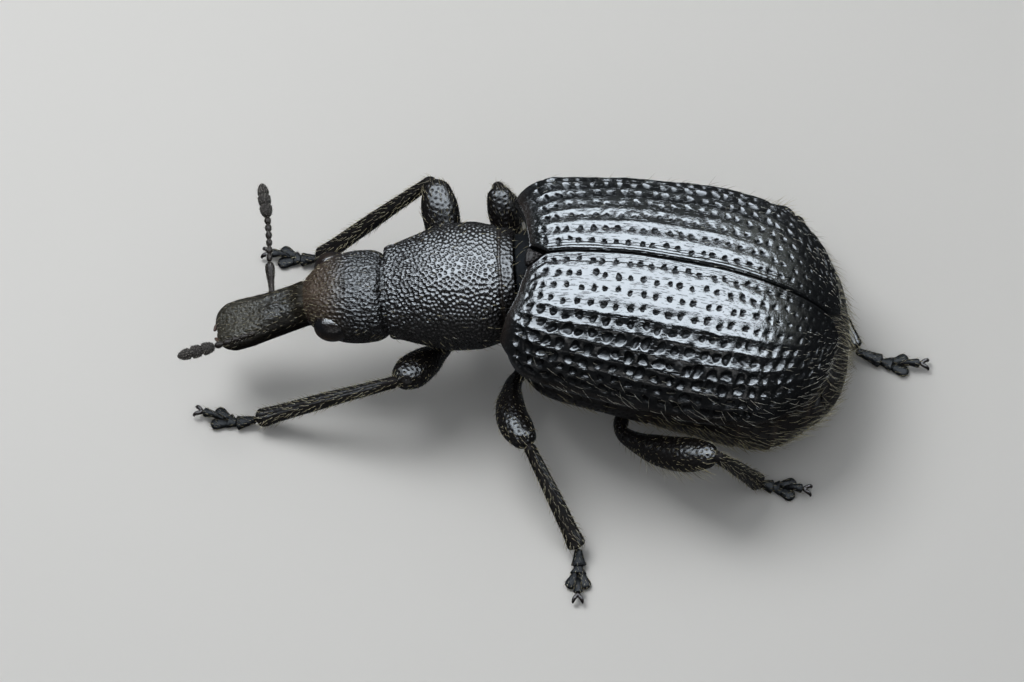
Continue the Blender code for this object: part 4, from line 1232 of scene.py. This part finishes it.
FORE_COXA = ((-0.42, 0.098, -0.49), (0.105, 0.086, 0.125))
MID_COXA = ((0.17, 0.225, -0.52), (0.12, 0.12, 0.12))
HIND_COXA = ((0.80, 0.36, -0.53), (0.11, 0.24, 0.095))
LEGS = {
    "fore_left": {
        "coxa": (FORE_COXA, -1, in_fore),
        "femur": [(-0.50, -0.17, 0.455), (-0.54, -0.26, 0.46), (-0.83, -0.69, 0.71)],
        "ankle": (-1.85, -0.77, 0.085),
        "foot": [(-2.00, -0.79), (-2.10, -0.765), (-2.29, -0.725)],
        "swell": 1.15,
    },
    "fore_right": {
        "coxa": (FORE_COXA, 1, in_fore),
        "femur": [(-0.49, 0.12, 0.455), (-0.53, 0.24, 0.50), (-0.73, 0.87, 0.89)],
        "ankle": (-1.55, 0.58, 0.085),
        "foot": [(-1.68, 0.585), (-1.77, 0.595), (-1.95, 0.61)],
        "swell": 1.25,
    },
    "mid_left": {
        "coxa": (MID_COXA, -1, in_body),
        "femur": [(0.06, -0.33, 0.42), (-0.03, -0.50, 0.43), (-0.01, -0.80, 0.53), (0.13, -1.06, 0.62)],
        "ankle": (0.54, -1.58, 0.085),
        "foot": [(0.555, -1.70), (0.56, -1.80), (0.573, -1.97)],
        "swell": 1.0,
    },
    "mid_right": {
        "coxa": (MID_COXA, 1, in_body),
        "femur": [(0.06, 0.33, 0.42), (-0.10, 0.50, 0.50), (-0.28, 0.87, 0.86)],
        "ankle": (-0.12, 1.08, 0.085),
        "foot": [(-0.01, 1.15), (0.07, 1.20), (0.22, 1.29)],
        "swell": 0.9,
    },
    "hind_left": {
        "coxa": (HIND_COXA, -1, in_body),
        "femur": [(0.77, -0.60, 0.37), (0.79, -0.78, 0.36), (1.10, -0.98, 0.53), (1.47, -1.12, 0.80)],
        "ankle": (1.77, -0.93, 0.085),
        "foot": [(1.88, -0.935), (1.97, -0.935), (2.14, -0.94)],
        "brush": 1.9,
        "swell": 1.15,
    },
    "hind_right": {
        "coxa": (HIND_COXA, 1, in_body),
        "femur": [(0.77, 0.60, 0.37), (0.86, 0.78, 0.36), (1.35, 0.99, 0.37), (1.87, 1.05, 0.46)],
        "ankle": (2.38, 0.20, 0.085),
        "foot": [(2.58, 0.155), (2.70, 0.14), (2.90, 0.157)],
        "brush": 1.9,
        "swell": 1.0,
    },
}

# A femur's radii are its stem's plus swell times its swelling, along these shares of its length
FEMUR_SHARES = (0, 0.08, 0.13, 0.18, 0.3, 0.5, 0.75, 0.92, 1.0)
FEMUR_STEM = np.array((0.046, 0.054, 0.048, 0.052, 0.055, 0.055, 0.055, 0.056, 0.050))
FEMUR_SWELLING_HIGH = np.array((0.0, 0.0, 0.0, 0.002, 0.012, 0.042, 0.055, 0.030, 0.008))
FEMUR_SWELLING_WIDE = np.array((0.0, 0.0, 0.0, 0.003, 0.016, 0.050, 0.064, 0.036, 0.012))
TIBIA_SIZE = curve(
    [0, 0.05, 0.12, 0.3, 0.5, 0.85, 0.96, 1.0],
    [0.040, 0.047, 0.045, 0.047, 0.053, 0.058, 0.065, 0.056],
)

# Foot: shares, half widths and half thicknesses of each joint
FOOT_JOINTS = {
    "first": (
        (0.0, 0.3, 0.7, 0.92, 1.0),
        (0.026, 0.033, 0.046, 0.055, 0.046),
        (0.026, 0.030, 0.034, 0.035, 0.028),
    ),
    "second": (
        (0.0, 0.3, 0.7, 0.92, 1.0),
        (0.024, 0.034, 0.052, 0.059, 0.048),
        (0.024, 0.026, 0.028, 0.029, 0.024),
    ),
    "lobe": (
        (0.0, 0.3, 0.65, 0.9, 1.0),
        (0.022, 0.032, 0.045, 0.040, 0.028),
        (0.024, 0.026, 0.025, 0.022, 0.018),
    ),
    "last": (
        (0.0, 0.2, 0.6, 0.9, 1.0),
        (0.015, 0.019, 0.026, 0.034, 0.028),
        (0.016, 0.019, 0.025, 0.031, 0.026),
    ),
    "claw": ((0.0, 0.35, 0.7, 1.0), (0.013, 0.015, 0.010, 0.003), (0.014, 0.016, 0.011, 0.003)),
}
JOINT_HEIGHT = 0.0325
JOINT_OVERLAP = 0.01
CLAW_SPACE = 0.045
LAST_JOINT_HEIGHTS = (0.036, 0.068, 0.058)
KNUCKLE = 0.019
# Paths of a lobe and a claw: ahead, to the side and up from the joint they spring from
LOBE_PATH = ((-0.05, 0.022, 0.0245), (0.074, 0.060, 0.0245))
CLAW_PATH = ((0.006, 0.004, 0.0), (0.042, 0.026, 0.002), (0.058, 0.034, -0.018), (0.056, 0.034, -0.044))
# Voxels that blend a foot's joints, and a claw pair
FOOT_VOXEL = 0.0035
CLAW_VOXEL = 0.0025


def leg_skin(part, rings, hair, hair_length=1.0, dull=0.0):
    return solid(part, rings, pits=1, warm=0.12, hair=hair, hair_length=hair_length, dull=dull)


def ribs(u, angle):
    """Long ridges of a shin."""
    return 0.96 + 0.11 * np.abs(np.cos(4 * angle)) ** 0.6 * smooth_step(0.06, 0.2, u) + 0 * angle


def foot(spec, ankle):
    """Foot joints, two-lobed third joint and last joint fused in one skin, and the claws apart."""
    first, lobes, tip = [np.array((*p, 0.0)) for p in spec["foot"]]
    heading = unit(tip - lobes)
    across = np.array([-heading[1], heading[0], 0.0])
    up = np.array([0, 0, 1.0])
    root_height, middle_height, end_height = LAST_JOINT_HEIGHTS

    def at(base, ahead, aside, high):
        return base + heading * ahead + across * aside + up * high

    def joint(kind, points, caps=(0.1, 0.1)):
        shares, wide, flat = FOOT_JOINTS[kind]
        return solid(kind, limb("joint", points, curve(shares, wide), curve(shares, flat), caps))

    end = tip - heading * CLAW_SPACE
    middle = (lobes - heading * JOINT_OVERLAP + end) / 2 + up * middle_height
    joints = [
        joint("first", [ankle + (first - ankle) * 0.03, at(first, 0, 0, JOINT_HEIGHT)]),
        joint("second", [at(first, -JOINT_OVERLAP, 0, JOINT_HEIGHT), at(lobes, -0.04, 0, JOINT_HEIGHT)]),
        joint("last", [at(lobes, -JOINT_OVERLAP, 0, root_height), middle, end + up * end_height]),
    ]
    for side in SIDES.values():
        path = [at(lobes, ahead, side * aside, high) for ahead, aside, high in LOBE_PATH]
        joints.append(joint("lobe", path, (0.15, 0.25)))
    tarsus = fuse(merged("tarsus", joints), FOOT_VOXEL)
    spots = np.array([v.co for v in tarsus.data.vertices]) - ankle
    bearing = np.arctan2(spots @ across, spots[:, 2] + ankle[2] - JOINT_HEIGHT)
    length = (tip - ankle) @ heading
    store_values(tarsus.data, {
        "hair": np.ones(len(spots)),
        "hair_length": np.full(len(spots), 0.6),
        "lie": np.tile(heading, (len(spots), 1)),
        "unwrap": np.stack([bearing / (2 * np.pi) + 0.5, spots @ heading / length, 0 * bearing], -1),
    })
    end = end + up * end_height
    hooks = [solid("knuckle", egg("knuckle", at(end, 0.012, 0, 0), (KNUCKLE, KNUCKLE, KNUCKLE)))]
    for side in SIDES.values():
        path = [at(end, ahead, side * aside, high) for ahead, aside, high in CLAW_PATH]
        hooks.append(joint("claw", path, (0.1, 0.02)))
    return tarsus, fuse(merged("claws", hooks), CLAW_VOXEL)


def leg(spec):
    """Coxa, femur, tibia, tarsus and claws of a leg."""
    (centre, radii), side, frame = spec["coxa"]
    coxa = leg_skin("coxa", frame(egg("coxa", np.array(centre) * (1, side, 1), radii)), 0.4)
    high = curve(FEMUR_SHARES, FEMUR_STEM + spec["swell"] * FEMUR_SWELLING_HIGH)
    wide = curve(FEMUR_SHARES, FEMUR_STEM + spec["swell"] * FEMUR_SWELLING_WIDE)
    rows, columns = GRIDS["femur"]
    along = np.linspace(0, 1, rows)[:, None]
    angle = around(columns)
    outside = smooth_step(-0.3, 0.5, -side * np.cos(angle)) * smooth_step(0.6, -0.1, np.sin(angle))
    brush = spec.get("brush", 0.0) * outside * smooth_step(0.25, 0.5, along)
    femur = leg_skin("femur", limb("femur", spec["femur"], wide, high, (0.06, 0.06)), 0.6, 0.8 + brush)
    knee = np.array(spec["femur"][-1], float)
    ankle = np.array(spec["ankle"], float)
    down = unit(ankle - knee)
    bend = (knee + ankle) / 2 + np.array([0, 0, 0.010])
    shin = [knee - down * 0.005, bend, ankle - down * 0.004]
    shin = limb("tibia", shin, TIBIA_SIZE, TIBIA_SIZE, (0.05, 0.03), ribs)
    tibia = leg_skin("tibia", shin, 1.0, 1.0, smooth_step(0.30, 0.12, along))
    return coxa, femur, tibia, *foot(spec, ankle)


# Putting it together


def row_shift():
    """Where the body origin lies in the row frame, from the eyes' own solids."""
    shifts = []
    for side, sign in SIDES.items():
        low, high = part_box(f"eye_{side}")
        middle = np.array((low + high) / 2) / MM
        shifts.append(middle - in_head(np.array(EYE_CENTRE) * (1, sign, 1)))
    return np.mean(shifts, 0)


def settle(thing, shift):
    thing.data.transform(Matrix.Scale(MM, 4) @ Matrix.Translation(Vector(shift)))
    thing.data.update()
    return thing


def dress(thing, name, material, slot, shift, *nodes):
    thing.name = name
    thing.data.name = name
    thing.data.materials.clear()
    thing.data.materials.append(material)
    settle(thing, shift)
    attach(thing, "root")
    if nodes:
        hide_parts(*nodes)
    return thing


def coat_of(skin, tree, name, **values):
    """Hairs grown on a copy of a skin, as a plain mesh of their own."""
    return apply_tree(new_object(name, skin.data.copy()), tree, **values)


def hung(name, data, place, rotation):
    """Camera or light at a place in millimetres, turned by a quaternion."""
    holder = new_object(name, data)
    holder.location = Vector(place) * MM
    holder.rotation_mode = "QUATERNION"
    holder.rotation_quaternion = rotation
    return holder


def set_camera(shift):
    turn = math.radians(CAMERA_TURN)
    rise = math.radians(CAMERA_HEIGHT)
    back = Vector((math.sin(turn) * math.cos(rise), -math.cos(turn) * math.cos(rise), math.sin(rise)))
    right = Vector((math.cos(turn), math.sin(turn), 0))
    up = back.cross(right)
    off_right = (AIM_PIXEL[0] - PHOTO_WIDTH / 2) / PIXELS_PER_MM
    off_up = (PHOTO_HEIGHT / 2 - AIM_PIXEL[1]) / PIXELS_PER_MM
    middle = Vector(CAMERA_AIM) + Vector(shift) - right * off_right - up * off_up
    camera = bpy.data.cameras.new("camera")
    camera.sensor_width = SENSOR
    camera.lens = PIXELS_PER_MM * CAMERA_DISTANCE / PHOTO_WIDTH * SENSOR
    camera.clip_start, camera.clip_end = CAMERA_CLIP
    rotation = Matrix((right, up, back)).transposed().to_quaternion()
    bpy.context.scene.camera = hung("camera", camera, middle + back * CAMERA_DISTANCE, rotation)


def area_light(name, place, aim, size, power, colour, shine_only):
    light = bpy.data.lights.new(name, "AREA")
    light.shape = "RECTANGLE"
    light.size = size[0] * MM
    light.size_y = size[1] * MM
    light.energy = power
    light.color = colour
    holder = hung(name, light, place, (Vector(aim) - Vector(place)).to_track_quat("-Z", "Y"))
    holder.visible_glossy = shine_only
    holder.visible_diffuse = not shine_only
    holder.visible_camera = False


def set_stage(materials):
    bpy.ops.mesh.primitive_plane_add(size=FLOOR_SIZE)
    floor = bpy.context.object
    floor.name = "floor"
    floor.data.materials.append(materials["floor"])
    floor.visible_glossy = False
    world = bpy.data.worlds.new("studio")
    world.use_nodes = True
    world.node_tree.nodes["Background"].inputs["Color"].default_value = SKY_COLOUR
    world.node_tree.nodes["Background"].inputs["Strength"].default_value = SKY_STRENGTH
    bpy.context.scene.world = world
    for name, light in LIGHTS.items():
        area_light(name, *light)
    bpy.context.scene.view_settings.view_transform = "Standard"


# Pits of a skin: spacing, radius, depth and seed
PITS = {
    "shield": (0.022, 0.012, 0.010, 1),
    "trunk": (0.04, 0.015, 0.006, 3),
    "prothorax": (0.028, 0.0165, 0.010, 4),
    "head": (0.028, 0.015, 0.008, 6),
    "eye": (0.0095, 0.008, -0.0016, 1),
    "rostrum": (0.034, 0.012, 0.003, 8),
    "leg": (0.034, 0.014, 0.005, 9),
}

# Hairs of a skin: material, slot, spacing, length, thickness and lift
COATS = {
    "elytron": ("grey_hair", "wing_case", 0.036, 0.06, 0.0021, 0.6),
    "trunk": ("pale_hair", "body_shell", 0.031, 0.095, 0.0022, 0.7),
    "prothorax": ("pale_hair", "body_shell", 0.055, 0.05, 0.0021, 0.9),
    "head": ("pale_hair", "head_shell", 0.030, 0.045, 0.0017, 0.5),
    "rostrum": ("pale_hair", "rostrum_shell", 0.030, 0.045, 0.0017, 0.6),
    "antenna": ("grey_hair", "antenna_shell", 0.016, 0.022, 0.0014, 0.8),
    "leg": ("pale_hair", "leg_shell", 0.024, 0.052, 0.0022, 0.9),
}
COAT_SEED = 5


def build():
    materials = make_materials()
    shift = row_shift()
    pits = pit_tree()
    bristles = bristle_tree()
    set_camera(shift)
    set_stage(materials)

    def add(thing, node, material, slot=None):
        dress(thing, f"skin_{node}", materials[material], slot or material, shift, node)

    def pitted(kind, thing):
        spacing, radius, depth, seed = PITS[kind]
        return apply_tree(thing, pits, spacing=spacing, radius=radius, depth=depth, seed=seed)

    def coat(kind, name, *skins):
        hair, slot, spacing, length, thickness, lift = COATS[kind]
        grown = [
            coat_of(skin, bristles, f"{name}_{i}", spacing=spacing, length=length, thickness=thickness,
                    lift=lift, seed=COAT_SEED + i, material=materials[hair])
            for i, skin in enumerate(skins)
        ]
        whole = grown[0] if len(grown) == 1 else merged(name, grown)
        dress(whole, name, materials[hair], slot, shift)

    for side in SIDES:
        case = wing_case(side)
        coat("elytron", f"coat_elytron_{side}", case)
        add(case, f"elytron_{side}", "wing_case")
    add(pitted("shield", scutellum()), "scutellum", "shield_shell", "wing_case")

    trunk = [thorax_underside(), *abdomen_parts()]
    coat("trunk", "coat_trunk", *trunk)
    for thing, node in zip(trunk, ("thorax_underside", "abdomen", "pygidium")):
        add(pitted("trunk", thing), node, "body_shell")

    front = prothorax()
    coat("prothorax", "coat_prothorax", front)
    add(pitted("prothorax", front), "prothorax", "pronotum_shell", "body_shell")

    skull = head()
    coat("head", "coat_head", skull)
    add(pitted("head", skull), "head", "head_shell")
    for side in SIDES:
        add(pitted("eye", eye(side)), f"eye_{side}", "eye_lens")
        add(mandible(side), f"mandible_{side}", "claw_horn")
    beak = rostrum()
    coat("rostrum", "coat_rostrum", beak)
    add(pitted("rostrum", beak), "rostrum", "rostrum_shell")

    for side in SIDES:
        feeler = antenna(side)
        coat("antenna", f"coat_antenna_{side}", *feeler)
        for thing, part in zip(feeler, ("scape", "funicle", "club")):
            add(thing, f"antenna_{part}_{side}", "club_felt" if part == "club" else "antenna_shell")

    for name, spec in LEGS.items():
        coxa, femur, tibia, tarsus, claws = leg(spec)
        coat("leg", f"coat_{name}", femur, tibia, tarsus)
        add(pitted("leg", coxa), f"coxa_{name}", "leg_shell")
        add(pitted("leg", femur), f"femur_{name}", "leg_shell")
        add(tibia, f"tibia_{name}", "leg_shell")
        add(tarsus, f"tarsus_{name}", "foot_shell", "leg_shell")
        add(claws, f"claws_{name}", "claw_horn")


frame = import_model()
build()
